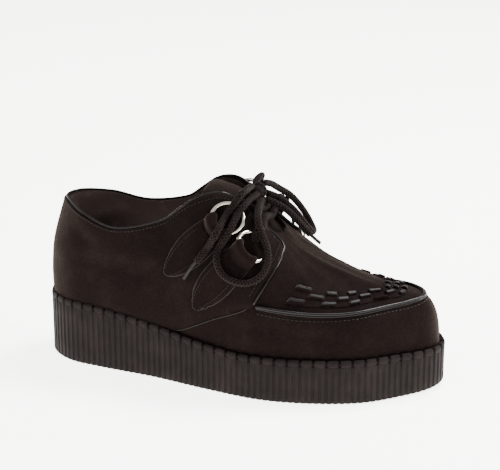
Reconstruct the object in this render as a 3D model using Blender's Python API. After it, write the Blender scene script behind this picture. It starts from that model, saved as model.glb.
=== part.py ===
"""Low lace-up shoe on a ribbed wedge sole, right foot, standing empty on its sole.

The toe points to +X, the outer side of the foot to -Y, and +Z is up.  Lengths are in metres.
A place on the upper is given by its lap and its rise.  The lap runs once round the sole: 0 at
the back of the heel, along the outer side to 1 at the toe, and back along the inner side to 2.
The rise is 0 where the upper meets the sole, 1 at the line of the apron seam and 2 at the rim.
A turn is the lap counted from the heel on either side, 0 to 1.
"""

import math

import bmesh
import bpy
import numpy as np
from mathutils import Vector

# Main sizes
SOLE_LENGTH = 0.265
BALL_WIDTH = 0.100
HEEL_STACK = 0.0425
FORE_STACK = 0.0285
HEEL_HEIGHT = 0.064
INSTEP_HEIGHT = 0.091
TOE_WALL = 0.030
TOE_SPRING = 0.0025

# Layers and fits
FIT = 0.0003
LEDGE = 0.0035
WALL = 0.0020
INSOLE = 0.0030
INSOLE_GAP = 0.0012
TONGUE = 0.0024
TONGUE_GAP = 0.0014
OVERLAY_GAP = 0.0010
QUARTER = 0.0011
TAB_GAP = 0.0007

# Sole's rim and ribs
RIB_PITCH = 0.0082
NOTCH_WIDTH = 0.0022
NOTCH_DEPTH = 0.0013
GROOVE_DEPTH = 0.0006
RIM_BAND = 0.0032
EDGE_ROUND = 0.0010
TREAD_ROUND = 0.0014
TREAD_INSET = 0.0028

# Trim: radii of the pipings, the woven band's floor and its strips' height and gap
COLLAR_PIPING = 0.0011
APRON_PIPING = 0.0014
BAND_FLOOR = 0.0005
BAND_RAISE = 0.0007
BAND_GAP = 0.0006

# Rings and the leaf-shaped tabs that hold them
RING_RADIUS = 0.0102
RING_WIRE = 0.0013
TAB = 0.0012
LEAF_LENGTH = 0.052
LEAF_WIDTH = 0.022

# Lace
LACE = 0.0045
AGLET = 0.0022
KNOT = (0.0055, 0.0062, 0.0054)

# Tongue: the turns of its rows from the throat's end up, its wings' reach under the facings as
# rises below the rim, and the rows' crown, slope and free top
TONGUE_TURNS = (0.78, 0.70, 0.65, 0.60, 0.56, 0.52, 0.485)
TONGUE_WINGS = (0.26, 0.13, 0.0)
TONGUE_END = {
    "lap": (0.78, 0.85, 0.92, 1.00, 1.08, 1.15, 1.22),
    "below": (0.31, 0.23, 0.18, 0.17, 0.18, 0.23, 0.31),
}
TONGUE_CROWN = 0.22
TONGUE_SLOPE = math.radians(35)
TONGUE_TOP = (0.2, 0.5, 0.9, 1.1, 0.9, 0.5, 0.2)

# Shares of the sole's length where the wedge starts and ends, and where the toe lifts
WEDGE_FROM = 0.096
WEDGE_TO = 0.570
SPRING_FROM = 0.880

# Least share of its width that the apron keeps over the toe
TOE_SPREAD = 0.25

# Outline of the sole: half widths as shares of BALL_WIDTH, before they are closed at the ends
OUTLINE = {
    "turn": (0.00, 0.18, 0.26, 0.37, 0.47, 0.565, 0.645, 0.74, 0.83, 1.00),
    "outer": (0.57, 0.530, 0.466, 0.440, 0.507, 0.592, 0.615, 0.610, 0.525, 0.545),
    "inner": (0.57, 0.550, 0.477, 0.365, 0.340, 0.413, 0.490, 0.560, 0.605, 0.545),
}

# Sections of the upper, a row for each turn from heel to toe.
# along: the rim's place, as a share of SOLE_LENGTH.  full: its half width, of BALL_WIDTH.
# heel, instep: its height above the sole, of HEEL_HEIGHT and INSTEP_HEIGHT.
# seam_in, seam_up: the apron seam's line, of BALL_WIDTH and TOE_WALL.
# belly_out, belly_up: fullness of the lower wall, of BALL_WIDTH and of the seam's height.
# lean_low, lean_top: degrees off upright just above the seam's line and at the rim.
# pull_low, pull_top: how far those leans reach, as shares of the chord between them.
SECTION_COLUMNS = ("turn", "along", "full", "heel", "instep", "seam_in", "seam_up", "belly_out",
                   "belly_up", "lean_low", "pull_low", "lean_top", "pull_top")
SECTION_ROWS = (
    (0.00, 0.048, 0.400, 1.000, 0.000, 0.003, 0.950, 0.012, 0.50, 6, 0.33, 16, 0.33),
    (0.10, 0.070, 0.404, 0.995, 0.000, 0.003, 0.950, 0.012, 0.50, 6, 0.33, 15, 0.33),
    (0.20, 0.125, 0.446, 0.940, 0.000, 0.000, 0.950, 0.013, 0.50, 6, 0.33, 10, 0.33),
    (0.30, 0.215, 0.408, 0.880, 0.000, 0.000, 0.950, 0.014, 0.50, 6, 0.33, 8, 0.33),
    (0.40, 0.332, 0.294, 0.450, 0.430, 0.010, 0.970, 0.013, 0.50, 8, 0.33, 14, 0.33),
    (0.45, 0.400, 0.258, 0.100, 0.857, 0.014, 1.000, 0.011, 0.50, 9, 0.32, 24, 0.33),
    (0.50, 0.460, 0.195, 0.000, 1.000, 0.020, 1.035, 0.010, 0.50, 11, 0.30, 38, 0.34),
    (0.55, 0.506, 0.167, 0.000, 0.951, 0.028, 1.050, 0.008, 0.52, 16, 0.28, 48, 0.34),
    (0.60, 0.547, 0.163, 0.000, 0.845, 0.045, 0.970, 0.006, 0.60, 38, 0.26, 52, 0.33),
    (0.65, 0.577, 0.146, 0.000, 0.767, 0.062, 0.905, 0.005, 0.65, 54, 0.28, 55, 0.32),
    (0.70, 0.5925, 0.117, 0.000, 0.740, 0.080, 0.885, 0.004, 0.70, 67, 0.30, 50, 0.30),
    (0.80, 0.602, 0.094, 0.000, 0.728, 0.093, 0.935, 0.002, 0.75, 76, 0.32, 45, 0.28),
    (0.90, 0.606, 0.084, 0.000, 0.725, 0.100, 0.990, 0.001, 0.80, 80, 0.32, 42, 0.26),
    (1.00, 0.6075, 0.082, 0.000, 0.724, 0.103, 1.015, 0.000, 0.80, 81, 0.32, 42, 0.26),
)
SECTIONS = dict(zip(SECTION_COLUMNS, zip(*SECTION_ROWS)))

# Front edge of the quarters: from the sole up to the apron seam, on up to the facing's round
# corner, and back to the rim
QUARTER_EDGE = {
    "rise": (0.0, 0.16, 0.375, 0.58, 0.73, 0.865, 1.0, 1.12, 1.285, 1.455, 1.575, 1.695, 1.77,
             1.82, 1.89, 1.95, 2.0),
    "turn": (0.418, 0.436, 0.461, 0.486, 0.509, 0.532, 0.5463, 0.556, 0.575, 0.601, 0.624, 0.646,
             0.661, 0.669, 0.665, 0.652, 0.636),
}

# Collar piping: the turn where it leaves the facing's round corner, and its height there as a
# share of its height on the quarter
PIPING_CORNER = 0.615
PIPING_DROP = 0.7

# Woven band inside the apron seam: its outer edge, its rear ends' slant and its inner edge
BAND_OUTER_RISE = 1.11
BAND_REAR = 0.601
BAND_SLANT = 0.040
BAND_INNER = {
    "turn": (0.60, 0.64, 0.70, 0.78, 0.85, 1.00),
    "rise": (1.40, 1.375, 1.31, 1.27, 1.26, 1.27),
}
BAND_STRIPS = 3
BAND_CELLS = 20

# Rings: the turn and rise of their middles and of their tabs' tips
RINGS = {
    "high": {"turn": 0.516, "rise": 1.755, "tip_turn": 0.410, "tip_rise": 1.240},
    "low": {"turn": 0.565, "rise": 1.575, "tip_turn": 0.4475, "tip_rise": 0.850},
}

# Leaf, a row for each step from inside the ring to the tip.
# wires: radii of wire past the ring's circle.  reach: share of the way from there to the tip.
# half: half width, of LEAF_WIDTH.  round: how far the row follows the ring's circle.
# over: share of the height of the hump over the ring's wire.
LEAF_COLUMNS = ("wires", "reach", "half", "round", "over")
LEAF_ROWS = (
    (-3.6, 0.00, 0.200, 1.0, 0.0),
    (-2.4, 0.00, 0.204, 1.0, 0.0),
    (-1.1, 0.00, 0.205, 1.0, 1.0),
    (1.1, 0.00, 0.214, 1.0, 1.0),
    (2.7, 0.00, 0.236, 1.0, 0.0),
    (0.0, 0.13, 0.336, 0.5, 0.0),
    (0.0, 0.21, 0.450, 0.2, 0.0),
    (0.0, 0.35, 0.500, 0.0, 0.0),
    (0.0, 0.52, 0.482, 0.0, 0.0),
    (0.0, 0.69, 0.410, 0.0, 0.0),
    (0.0, 0.83, 0.309, 0.0, 0.0),
    (0.0, 0.94, 0.190, 0.0, 0.0),
    (0.0, 1.00, 0.070, 0.0, 0.0),
)
LEAF_SIDES = (-1.0, -0.36, 0.36, 1.0)

# Lace over the tongue: each strand's ring and facing turn on the outer side, its middle, and its
# facing turn and ring on the inner side
CROSSINGS = (
    ("low", 0.626, (0.1516, 0.0, 0.1040), 0.626, "low"),
    ("low", 0.600, (0.1470, 0.0, 0.1090), 0.556, "high"),
    ("high", 0.556, (0.1470, 0.0, 0.1090), 0.600, "low"),
)
KNOT_PLACE = (0.1424, -0.0010, 0.1196)

# Free lace: routes from the knot outwards, chosen by hand
LACE_ROUTES = {
    "lace_loop_outer": (
        (0.1438, -0.0088, 0.1196), (0.1418, -0.0174, 0.1188), (0.1405, -0.0287, 0.1172),
        (0.1380, -0.0322, 0.1131), (0.1343, -0.0415, 0.1027), (0.1285, -0.0431, 0.0930),
        (0.1286, -0.0478, 0.0867), (0.1329, -0.0504, 0.0792), (0.1420, -0.0528, 0.0757),
        (0.1498, -0.0512, 0.0752), (0.1567, -0.0483, 0.0788), (0.1600, -0.0425, 0.0857),
        (0.1584, -0.0376, 0.0941), (0.1536, -0.0324, 0.1014), (0.1504, -0.0303, 0.1090),
        (0.1484, -0.0224, 0.1137), (0.1466, -0.0079, 0.1154),
    ),
    "lace_loop_inner": (
        (0.1437, 0.0066, 0.1229), (0.1470, 0.0131, 0.1208), (0.1506, 0.0200, 0.1160),
        (0.1560, 0.0260, 0.1106), (0.1610, 0.0300, 0.1037), (0.1656, 0.0330, 0.0957),
        (0.1690, 0.0335, 0.0892), (0.1714, 0.0305, 0.0862), (0.1716, 0.0262, 0.0864),
        (0.1696, 0.0215, 0.0909), (0.1662, 0.0172, 0.0974), (0.1622, 0.0147, 0.1037),
        (0.1566, 0.0128, 0.1091), (0.1510, 0.0103, 0.1135), (0.1464, 0.0064, 0.1164),
    ),
    "lace_end_outer": (
        (0.1399, -0.0078, 0.1243), (0.1402, -0.0182, 0.1254), (0.1388, -0.0279, 0.1247),
        (0.1350, -0.0299, 0.1188), (0.1304, -0.0339, 0.1114), (0.1279, -0.0456, 0.1038),
        (0.1216, -0.0439, 0.0932), (0.1173, -0.0459, 0.0872), (0.1148, -0.0463, 0.0842),
    ),
    "lace_end_inner": (
        (0.1484, -0.0011, 0.1143), (0.1541, -0.0001, 0.1118), (0.1596, 0.0015, 0.1084),
        (0.1648, 0.0040, 0.1028), (0.1701, 0.0070, 0.0956), (0.1743, 0.0090, 0.0901),
    ),
}
AGLET_ROUTES = {
    "aglet_outer": ((0.1145, -0.0464, 0.0839), (0.1109, -0.0464, 0.0788), (0.1064, -0.0452, 0.0718)),
    "aglet_inner": ((0.1746, 0.0091, 0.0898), (0.1774, 0.0105, 0.0867), (0.1806, 0.0115, 0.0838)),
}

# How finely each form is divided
UPPER_LAPS = 64
UPPER_RISES = (0.0, 0.33, 0.67, 1.0, 1.11, 1.22, 1.34, 1.50, 1.68, 1.85, 2.0)
CAP_STATIONS = 28
QUARTER_TURNS = 15
QUARTER_RISES = (0.02, 0.33, 0.67, 1.0, 1.11, 1.22, 1.34, 1.50, 1.68, 1.78, 1.86, 1.93, 2.0)
PIPING_STEP = 0.0080
FRONT_POINTS = 12
TOPLINE_POINTS = 24
SEAM_POINTS = 50
LACE_STEP = 1.6 * LACE
CROSSING_STEP = 0.0065
RING_SIDES = 18
WIRE_SIDES = 6
KNOT_SIDES = 12
WALK_STEPS = 12
FINE_STEPS = 2000
STEP = 1e-4


def smooth(table, column, at):
    """A column's value on a smooth curve through a table's rows, keyed by its first column."""
    keys = np.array(next(iter(table.values())), float)
    values = np.array(table[column], float)
    slopes = np.zeros(len(keys))
    slopes[1:-1] = (values[2:] - values[:-2]) / (keys[2:] - keys[:-2])
    at = np.clip(at, keys[0], keys[-1])
    row = np.clip(np.searchsorted(keys, at, side="right") - 1, 0, len(keys) - 2)
    span = keys[row + 1] - keys[row]
    f = (at - keys[row]) / span
    low = values[row] * (1 + 2 * f) * (1 - f) ** 2 + slopes[row] * span * f * (1 - f) ** 2
    high = values[row + 1] * f * f * (3 - 2 * f) + slopes[row + 1] * span * f * f * (f - 1)
    return low + high


def fold(lap):
    """Turn from heel to toe, 0 to 1, and side, -1 outer or 1 inner, of a lap."""
    lap = np.mod(lap, 2.0)
    side = np.where(lap < 1, -1.0, 1.0)
    return 1 - np.abs(1 - lap), side


def on_side(turn, side):
    """Lap of a turn on the outer side, -1, or the inner side, 1."""
    return turn if side < 0 else 2 - turn


def outline(lap):
    """Plan of the sole's edge."""
    turn, side = fold(lap)
    half = np.where(side < 0, smooth(OUTLINE, "outer", turn), smooth(OUTLINE, "inner", turn))
    x = SOLE_LENGTH * (1 - np.cos(math.pi * turn)) / 2
    y = side * half * BALL_WIDTH * np.sin(math.pi * turn)
    return np.stack([x, y], -1)


def plan_normal(curve, lap):
    """Outward direction, in plan, of a closed curve that runs along the outer side first."""
    tangent = curve(lap + STEP)[..., :2] - curve(lap - STEP)[..., :2]
    length = np.linalg.norm(tangent, axis=-1, keepdims=True)
    return np.stack([tangent[..., 1], -tangent[..., 0]], -1) / length


def inset(lap, depth):
    """Plan of a line that keeps a depth inside the sole's edge."""
    depth = np.asarray(depth, float)[..., None]
    return outline(lap) - plan_normal(outline, lap) * depth


def sole_top(x):
    """Height of the sole's upper face."""
    f = np.clip((x / SOLE_LENGTH - WEDGE_FROM) / (WEDGE_TO - WEDGE_FROM), 0, 1)
    return HEEL_STACK + (FORE_STACK - HEEL_STACK) * f * f * (3 - 2 * f)


def sole_bottom(x):
    """Height of the sole's underside, flat up to the toe's lift."""
    f = np.clip((x / SOLE_LENGTH - SPRING_FROM) / (1 - SPRING_FROM), 0, 1)
    return TOE_SPRING * f * f


def rim(lap):
    """Line of the opening: the collar, the facings and the throat's round end."""
    turn, side = fold(lap)
    x = smooth(SECTIONS, "along", turn) * SOLE_LENGTH
    y = side * smooth(SECTIONS, "full", turn) * BALL_WIDTH * np.sin(math.pi * turn)
    up = smooth(SECTIONS, "heel", turn) * HEEL_HEIGHT + smooth(SECTIONS, "instep", turn) * INSTEP_HEIGHT
    return np.stack([x, y, sole_top(x) + up], -1)


def short_of_middle(start, end):
    """Sideways place of the end of an inward line, eased so that it never crosses the middle."""
    share = end / np.where(np.abs(start) < STEP ** 2, STEP ** 2, start)
    share = (share + TOE_SPREAD + np.sqrt((share - TOE_SPREAD) ** 2 + TOE_SPREAD ** 2)) / 2
    return start * share


def last(lap, rise):
    """Outer face of the upper at a lap and a rise."""
    lap, rise = np.broadcast_arrays(np.asarray(lap, float), np.asarray(rise, float))
    turn, _ = fold(lap)
    foot = inset(lap, np.full(lap.shape, LEDGE))
    away = plan_normal(outline, lap)
    base = sole_top(foot[..., 0]) + FIT
    seam_in = smooth(SECTIONS, "seam_in", turn) * BALL_WIDTH
    seam_up = smooth(SECTIONS, "seam_up", turn) * TOE_WALL
    belly_out = smooth(SECTIONS, "belly_out", turn) * BALL_WIDTH
    belly_up = smooth(SECTIONS, "belly_up", turn) * seam_up

    f = rise
    inward = f * f * seam_in - 2 * f * (1 - f) * belly_out
    up = f * f * seam_up + 2 * f * (1 - f) * belly_up
    wall = np.concatenate([foot - away * inward[..., None], (base + up)[..., None]], -1)

    seam = np.concatenate([foot - away * seam_in[..., None], (base + seam_up)[..., None]], -1)
    edge = rim(lap)
    chord = np.linalg.norm(edge - seam, axis=-1)
    lean = np.radians(smooth(SECTIONS, "lean_low", turn))
    pull = smooth(SECTIONS, "pull_low", turn) * chord
    low = seam + np.concatenate([-away * (pull * np.sin(lean))[..., None],
                                 (pull * np.cos(lean))[..., None]], -1)
    low[..., 1] = short_of_middle(seam[..., 1], low[..., 1])
    lean = np.radians(smooth(SECTIONS, "lean_top", turn))
    pull = smooth(SECTIONS, "pull_top", turn) * chord
    open_way = plan_normal(rim, lap)
    high = edge + np.concatenate([open_way * (pull * np.sin(lean))[..., None],
                                  -(pull * np.cos(lean))[..., None]], -1)
    f = (rise - 1)[..., None]
    panel = seam * (1 - f) ** 3 + low * 3 * f * (1 - f) ** 2 + high * 3 * f * f * (1 - f) + edge * f ** 3
    return np.where((rise <= 1)[..., None], wall, panel)


def unit(vector):
    """Vector, or each of an array of them, at a length of one."""
    return vector / np.linalg.norm(vector, axis=-1, keepdims=True)


def tangents(lap, rise):
    """How the upper's outer face moves for each unit of lap and of rise."""
    step = 10 * STEP
    along = (last(lap + step, rise) - last(lap - step, rise)) / (2 * step)
    across = (last(lap, rise + step) - last(lap, rise - step)) / (2 * step)
    return along, across


def square(lap, rise):
    """Direction square to the upper's outer face, pointing out."""
    return unit(np.cross(*tangents(lap, rise)))


def skin(lap, rise, out):
    """Point at a distance out from the upper's outer face, measured square to it."""
    lap, rise, out = np.broadcast_arrays(np.asarray(lap, float), np.asarray(rise, float),
                                         np.asarray(out, float))
    return last(lap, rise) + square(lap, rise) * out[..., None]


def dot(a, b):
    return (a * b).sum(axis=-1)


def walk(lap, rise, way, run):
    """Places reached after runs over the upper, and the ways faced there."""
    for _ in range(WALK_STEPS):
        along, across = tangents(lap, rise)
        mixed = dot(along, across)
        spread = dot(along, along) * dot(across, across) - mixed ** 2
        lap_pace = (dot(across, across) * dot(way, along) - mixed * dot(way, across)) / spread
        rise_pace = (dot(along, along) * dot(way, across) - mixed * dot(way, along)) / spread
        flat = along * lap_pace[..., None] + across * rise_pace[..., None]
        step = run / WALK_STEPS / np.linalg.norm(flat, axis=-1)
        lap = lap + lap_pace * step
        rise = rise + rise_pace * step
        way = unit(flat)
    return lap, rise, way


def run_length(points):
    """Distance run along a line at each of its points."""
    return np.concatenate([[0], np.cumsum(np.linalg.norm(np.diff(points, axis=0), axis=1))])


def edge_laps(shares):
    """Laps at shares of the way round the sole's edge."""
    return np.interp(shares, EDGE_RUN / EDGE_RUN[-1], EDGE_LAPS)


def edge_share(lap):
    """Share of the way round the sole's edge at a lap."""
    return np.interp(lap, EDGE_LAPS, EDGE_RUN / EDGE_RUN[-1])


def follow(route, spacing):
    """Points an even distance apart on a smooth curve through a route's own points."""
    route = np.array(route, float)
    keys = run_length(route)
    fine = np.linspace(0, keys[-1], FINE_STEPS)
    curve = np.stack([smooth({"run": keys, "place": route[:, k]}, "place", fine) for k in range(3)], -1)
    run = run_length(curve)
    even = np.linspace(0, run[-1], max(2, round(run[-1] / spacing) + 1))
    return np.stack([np.interp(even, run, curve[:, k]) for k in range(3)], -1)


def material(name, color, roughness, metallic=0.0):
    """Plain finish for a piece, made once for each name."""
    if name in bpy.data.materials:
        return bpy.data.materials[name]
    finish = bpy.data.materials.new(name)
    finish.use_nodes = True
    shader = finish.node_tree.nodes["Principled BSDF"]
    shader.inputs["Base Color"].default_value = (*color, 1.0)
    shader.inputs["Roughness"].default_value = roughness
    shader.inputs["Metallic"].default_value = metallic
    return finish


def suede():
    return material("black suede", (0.020, 0.015, 0.014), 0.9)


def glossy_leather():
    return material("glossy leather", (0.030, 0.025, 0.024), 0.35)


def lace_cloth():
    return material("braided lace", (0.035, 0.026, 0.027), 0.85)


def add_object(name, data, finish):
    """Object with its own data and finish, at the part's place."""
    data.materials.append(finish)
    piece = bpy.data.objects.new(name, data)
    piece.location = PLACE
    bpy.context.scene.collection.objects.link(piece)
    return piece


def add_piece(name, points, faces, finish):
    """Object of one closed mesh, its faces turned outwards and cut into triangles."""
    shape = bmesh.new()
    corners = [shape.verts.new(point) for point in points]
    for face in faces:
        shape.faces.new([corners[i] for i in face])
    bmesh.ops.recalc_face_normals(shape, faces=shape.faces)
    bmesh.ops.triangulate(shape, faces=shape.faces)
    mesh = bpy.data.meshes.new(name)
    shape.to_mesh(mesh)
    shape.free()
    return add_object(name, mesh, finish)


def add_tube(name, points, radius, resolution, finish):
    """Round cord along a line, closed at both ends."""
    shape = bpy.data.curves.new(name, "CURVE")
    shape.dimensions = "3D"
    shape.bevel_depth = radius
    shape.bevel_resolution = resolution
    shape.use_fill_caps = True
    line = shape.splines.new("POLY")
    line.points.add(len(points) - 1)
    for corner, point in zip(line.points, points):
        corner.co = (*point, 1.0)
    return add_object(name, shape, finish)


def band(first, second, count):
    """Faces between two closed rings of the same count, by the index of their first points."""
    return [(first + i, first + (i + 1) % count, second + (i + 1) % count, second + i)
            for i in range(count)]


def stitch(first, first_keys, second, second_keys):
    """Triangles between two closed rings of different counts, matched by their keys."""
    faces = []
    i = 0
    j = 0
    n = len(first_keys)
    m = len(second_keys)
    while i < n or j < m:
        next_i = first_keys[i + 1] if i + 1 < n else 2.0
        next_j = second_keys[j + 1] if j + 1 < m else 2.0
        if j >= m or (i < n and next_i <= next_j):
            faces.append((first + i, first + (i + 1) % n, second + j % m))
            i += 1
        else:
            faces.append((first + i % n, second + (j + 1) % m, second + j))
            j += 1
    return faces


def cap_laps():
    """Laps of a ring whose points face each other across the shoe."""
    turns = np.linspace(0, 1, CAP_STATIONS + 2)
    return np.concatenate([turns, 2 - turns[-2:0:-1]])


def cap(start):
    """Faces that close a ring of cap_laps, cut straight across the shoe."""
    count = 2 * (CAP_STATIONS + 1)
    faces = [(start, start + 1, start + count - 1)]
    for i in range(1, CAP_STATIONS):
        faces.append((start + i, start + i + 1, start + count - i - 1, start + count - i))
    faces.append((start + CAP_STATIONS, start + CAP_STATIONS + 1, start + CAP_STATIONS + 2))
    return faces


def slab(outer, inner, closed):
    """Points and faces of the solid between two grids; closed joins the first and last rows."""
    rows, columns = outer.shape[:2]
    points = np.concatenate([outer.reshape(-1, 3), inner.reshape(-1, 3)])
    back = rows * columns
    last_row = rows if closed else rows - 1
    faces = []
    for r in range(last_row):
        a = r * columns
        b = (r + 1) % rows * columns
        for c in range(columns - 1):
            faces.append((a + c, a + c + 1, b + c + 1, b + c))
            faces.append((back + a + c, back + b + c, back + b + c + 1, back + a + c + 1))
        for c in (0, columns - 1):
            faces.append((a + c, b + c, back + b + c, back + a + c))
    if not closed:
        for a in (0, (rows - 1) * columns):
            for c in range(columns - 1):
                faces.append((a + c, a + c + 1, back + a + c + 1, back + a + c))
    return points, faces


def grid_normals(grid):
    """Unit normals of an open grid of points, from the run of its rows and columns."""
    down = np.gradient(grid, axis=0)
    across = np.gradient(grid, axis=1)
    return unit(np.cross(across, down))


def sole():
    """Wedge of rubber with a notched rim, deep notches and shallow grooves down its side."""
    ribs = round(EDGE_RUN[-1] / RIB_PITCH)
    half_notch = NOTCH_WIDTH / 2 / (EDGE_RUN[-1] / ribs)
    parts = np.array([0, half_notch, 0.5, 1 - half_notch])
    laps = edge_laps(((np.arange(ribs)[:, None] + parts) / ribs).ravel())
    notch = np.tile([NOTCH_DEPTH, 0, 0, 0], ribs)
    groove = np.tile([NOTCH_DEPTH, 0, GROOVE_DEPTH, 0], ribs)
    edge_x = outline(laps)[:, 0]
    low = sole_bottom(edge_x)
    top = sole_top(edge_x)
    rings = (
        (TREAD_ROUND + groove, low),
        (groove, low + TREAD_ROUND),
        (groove, top - RIM_BAND),
        (notch, top - RIM_BAND + GROOVE_DEPTH),
        (notch, top - EDGE_ROUND),
        (EDGE_ROUND + notch, top - notch),
    )
    points = [np.column_stack([inset(laps, depth), height]) for depth, height in rings]
    count = len(laps)
    faces = []
    for k in range(len(rings) - 1):
        faces += band(k * count, (k + 1) * count, count)
    keys = cap_laps()
    for depth, height, ring in ((TREAD_INSET, sole_bottom, 0), (LEDGE, sole_top, len(rings) - 1)):
        plan = inset(keys, np.full(len(keys), depth + NOTCH_DEPTH))
        start = sum(len(ring_points) for ring_points in points)
        points.append(np.column_stack([plan, height(plan[:, 0])]))
        faces += stitch(ring * count, laps, start, keys)
        faces += cap(start)
    add_piece("sole", np.concatenate(points), faces, material("sole rubber", (0.045, 0.040, 0.038), 0.62))


def insole():
    """Footbed inside the upper, resting on the sole."""
    keys = cap_laps()
    plan = inset(keys, np.full(len(keys), LEDGE + WALL + INSOLE_GAP))
    low = sole_top(plan[:, 0]) + FIT
    points = [np.column_stack([plan, low]), np.column_stack([plan, low + INSOLE])]
    count = len(keys)
    faces = cap(0) + cap(count) + band(0, count, count)
    add_piece("insole", np.concatenate(points), faces, material("insole leather", (0.06, 0.05, 0.045), 0.55))


def upper():
    """Hollow upper in one wall, open at the collar, the throat and underneath."""
    laps = np.linspace(0, 2, UPPER_LAPS, endpoint=False)
    lap, rise = np.meshgrid(laps, UPPER_RISES, indexing="ij")
    outer = last(lap, rise)
    inner = skin(lap, rise, -WALL)
    inner[:, 0, 2] = sole_top(inner[:, 0, 0]) + FIT
    points, faces = slab(outer, inner, True)
    add_piece("upper", points, faces, suede())


def tongue():
    """Padded tongue behind the facings, from under the apron to just above the rim."""
    depth = -(WALL + TONGUE_GAP)
    rows = [skin(np.array(TONGUE_END["lap"]), 2 - np.array(TONGUE_END["below"]), depth)]
    for turn in TONGUE_TURNS:
        wing = [skin(turn, 2 - back, depth) for back in TONGUE_WINGS]
        far = [skin(2 - turn, 2 - back, depth) for back in reversed(TONGUE_WINGS)]
        middle = (wing[-1] + far[0]) / 2
        lift = np.linalg.norm(wing[-1] - far[0]) / 2 * TONGUE_CROWN
        middle = middle + lift * np.array([math.sin(TONGUE_SLOPE), 0, math.cos(TONGUE_SLOPE)])
        rows.append(np.array([*wing, middle, *far]))
    rows.append(rows[-1] + (rows[-1] - rows[-2]) * np.array(TONGUE_TOP)[:, None])
    outer = np.array(rows)
    inner = outer - grid_normals(outer) * TONGUE
    points, faces = slab(outer, inner, False)
    add_piece("tongue", points, faces, suede())


def quarter(side):
    """Overlay over the rear of one side, from the back seam to its shaped front edge."""
    front = smooth(QUARTER_EDGE, "turn", np.array(QUARTER_RISES))
    back = FIT / np.linalg.norm(tangents(0.0, 1.0)[0])
    share = np.linspace(0, 1, QUARTER_TURNS + 1)[:, None]
    turn = back + (front - back) * share
    rise = np.broadcast_to(QUARTER_RISES, turn.shape)
    lap = on_side(turn, side)
    return slab(skin(lap, rise, OVERLAY_GAP + QUARTER), skin(lap, rise, OVERLAY_GAP), False)


def collar_piping():
    """Rolled edge along the quarters' front edges, round the facings' corners and the topline."""
    lift = COLLAR_PIPING + OVERLAY_GAP + FIT
    seam_turn = smooth(QUARTER_EDGE, "turn", 1.0)
    clear = (APRON_PIPING + COLLAR_PIPING + FIT) / np.linalg.norm(tangents(seam_turn, 1.0)[1])
    front = np.linspace(1 + clear, QUARTER_EDGE["rise"][-2], FRONT_POINTS)
    top = np.linspace(PIPING_CORNER, 0, TOPLINE_POINTS)
    turns = np.concatenate([smooth(QUARTER_EDGE, "turn", front), top])
    rises = np.concatenate([front, np.full(TOPLINE_POINTS, 2.0)])
    out = np.concatenate([np.ones(FRONT_POINTS - 1), [PIPING_DROP], np.zeros(TOPLINE_POINTS)]) * lift
    laps = np.concatenate([turns, 2 - turns[-2::-1]])
    rises = np.concatenate([rises, rises[-2::-1]])
    out = np.concatenate([out, out[-2::-1]])
    border = last(laps, rises)
    normal = square(laps, rises)
    beside = unit(np.cross(unit(np.gradient(border, axis=0)), normal))
    points = follow(border + beside * lift + normal * out[:, None], PIPING_STEP)
    add_tube("collar_piping", points, COLLAR_PIPING, 1, glossy_leather())


def apron_piping():
    """Thick rolled seam round the apron, between the two quarters."""
    start = smooth(QUARTER_EDGE, "turn", 1.0)
    start = start + 2 * APRON_PIPING / np.linalg.norm(tangents(start, 1.0)[0])
    laps = np.linspace(start, 2 - start, FINE_STEPS)
    line = skin(laps, 1.0, APRON_PIPING + OVERLAY_GAP)
    points = follow(line[:: FINE_STEPS // SEAM_POINTS], PIPING_STEP)
    add_tube("apron_piping", points, APRON_PIPING, 1, glossy_leather())


def woven_band():
    """Band of one wall round the apron, with the strips that lie on top raised from it."""
    across = np.linspace(0, 1, BAND_STRIPS + 1)
    lap = np.zeros((BAND_CELLS + 1, BAND_STRIPS + 1))
    half = BAND_CELLS // 2
    for c, v in enumerate(across):
        rear = BAND_REAR + BAND_SLANT * v
        lap[: half + 1, c] = edge_laps(np.linspace(edge_share(rear), edge_share(1.0), half + 1))
        lap[half:, c] = edge_laps(np.linspace(edge_share(1.0), edge_share(2 - rear), half + 1))
    turn, _ = fold(lap)
    rise = BAND_OUTER_RISE + (smooth(BAND_INNER, "rise", turn) - BAND_OUTER_RISE) * across
    floor = skin(lap, rise, OVERLAY_GAP + BAND_FLOOR)
    points, faces = slab(floor, skin(lap, rise, OVERLAY_GAP), False)
    points = list(points)
    normal = square(lap, rise)
    for r in range(BAND_CELLS):
        for c in range(r % 2, BAND_STRIPS, 2):
            rows = [r, r, r + 1, r + 1]
            columns = [c, c + 1, c + 1, c]
            low = floor[rows, columns]
            inward = unit(low.mean(axis=0) - low)
            high = low + inward * BAND_GAP + normal[rows, columns] * BAND_RAISE
            below = [a * (BAND_STRIPS + 1) + b for a, b in zip(rows, columns)]
            above = list(range(len(points), len(points) + 4))
            points.extend(high)
            faces.remove((below[0], below[1], below[2], below[3]))
            faces.append(tuple(above))
            faces += [(below[i], below[(i + 1) % 4], above[(i + 1) % 4], above[i]) for i in range(4)]
    add_piece("woven_band", points, faces, suede())


def ring_seat(place, side):
    """Lap and rise of a ring's middle, its centre, and its axis square to the quarter."""
    lap = on_side(place["turn"], side)
    rise = place["rise"]
    axis = square(lap, rise)
    along = unit(tangents(lap, rise)[0])
    angle = np.linspace(0, 2 * math.pi, RING_SIDES, endpoint=False)[:, None]
    ways = along * np.cos(angle) + np.cross(axis, along) * np.sin(angle)
    under_lap, under_rise, _ = walk(lap, rise, ways, RING_RADIUS)
    level = (last(under_lap, under_rise) - last(lap, rise)) @ axis
    lift = level.max() + OVERLAY_GAP + QUARTER + OVERLAY_GAP + RING_WIRE
    return lap, rise, last(lap, rise) + axis * lift, axis


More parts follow.
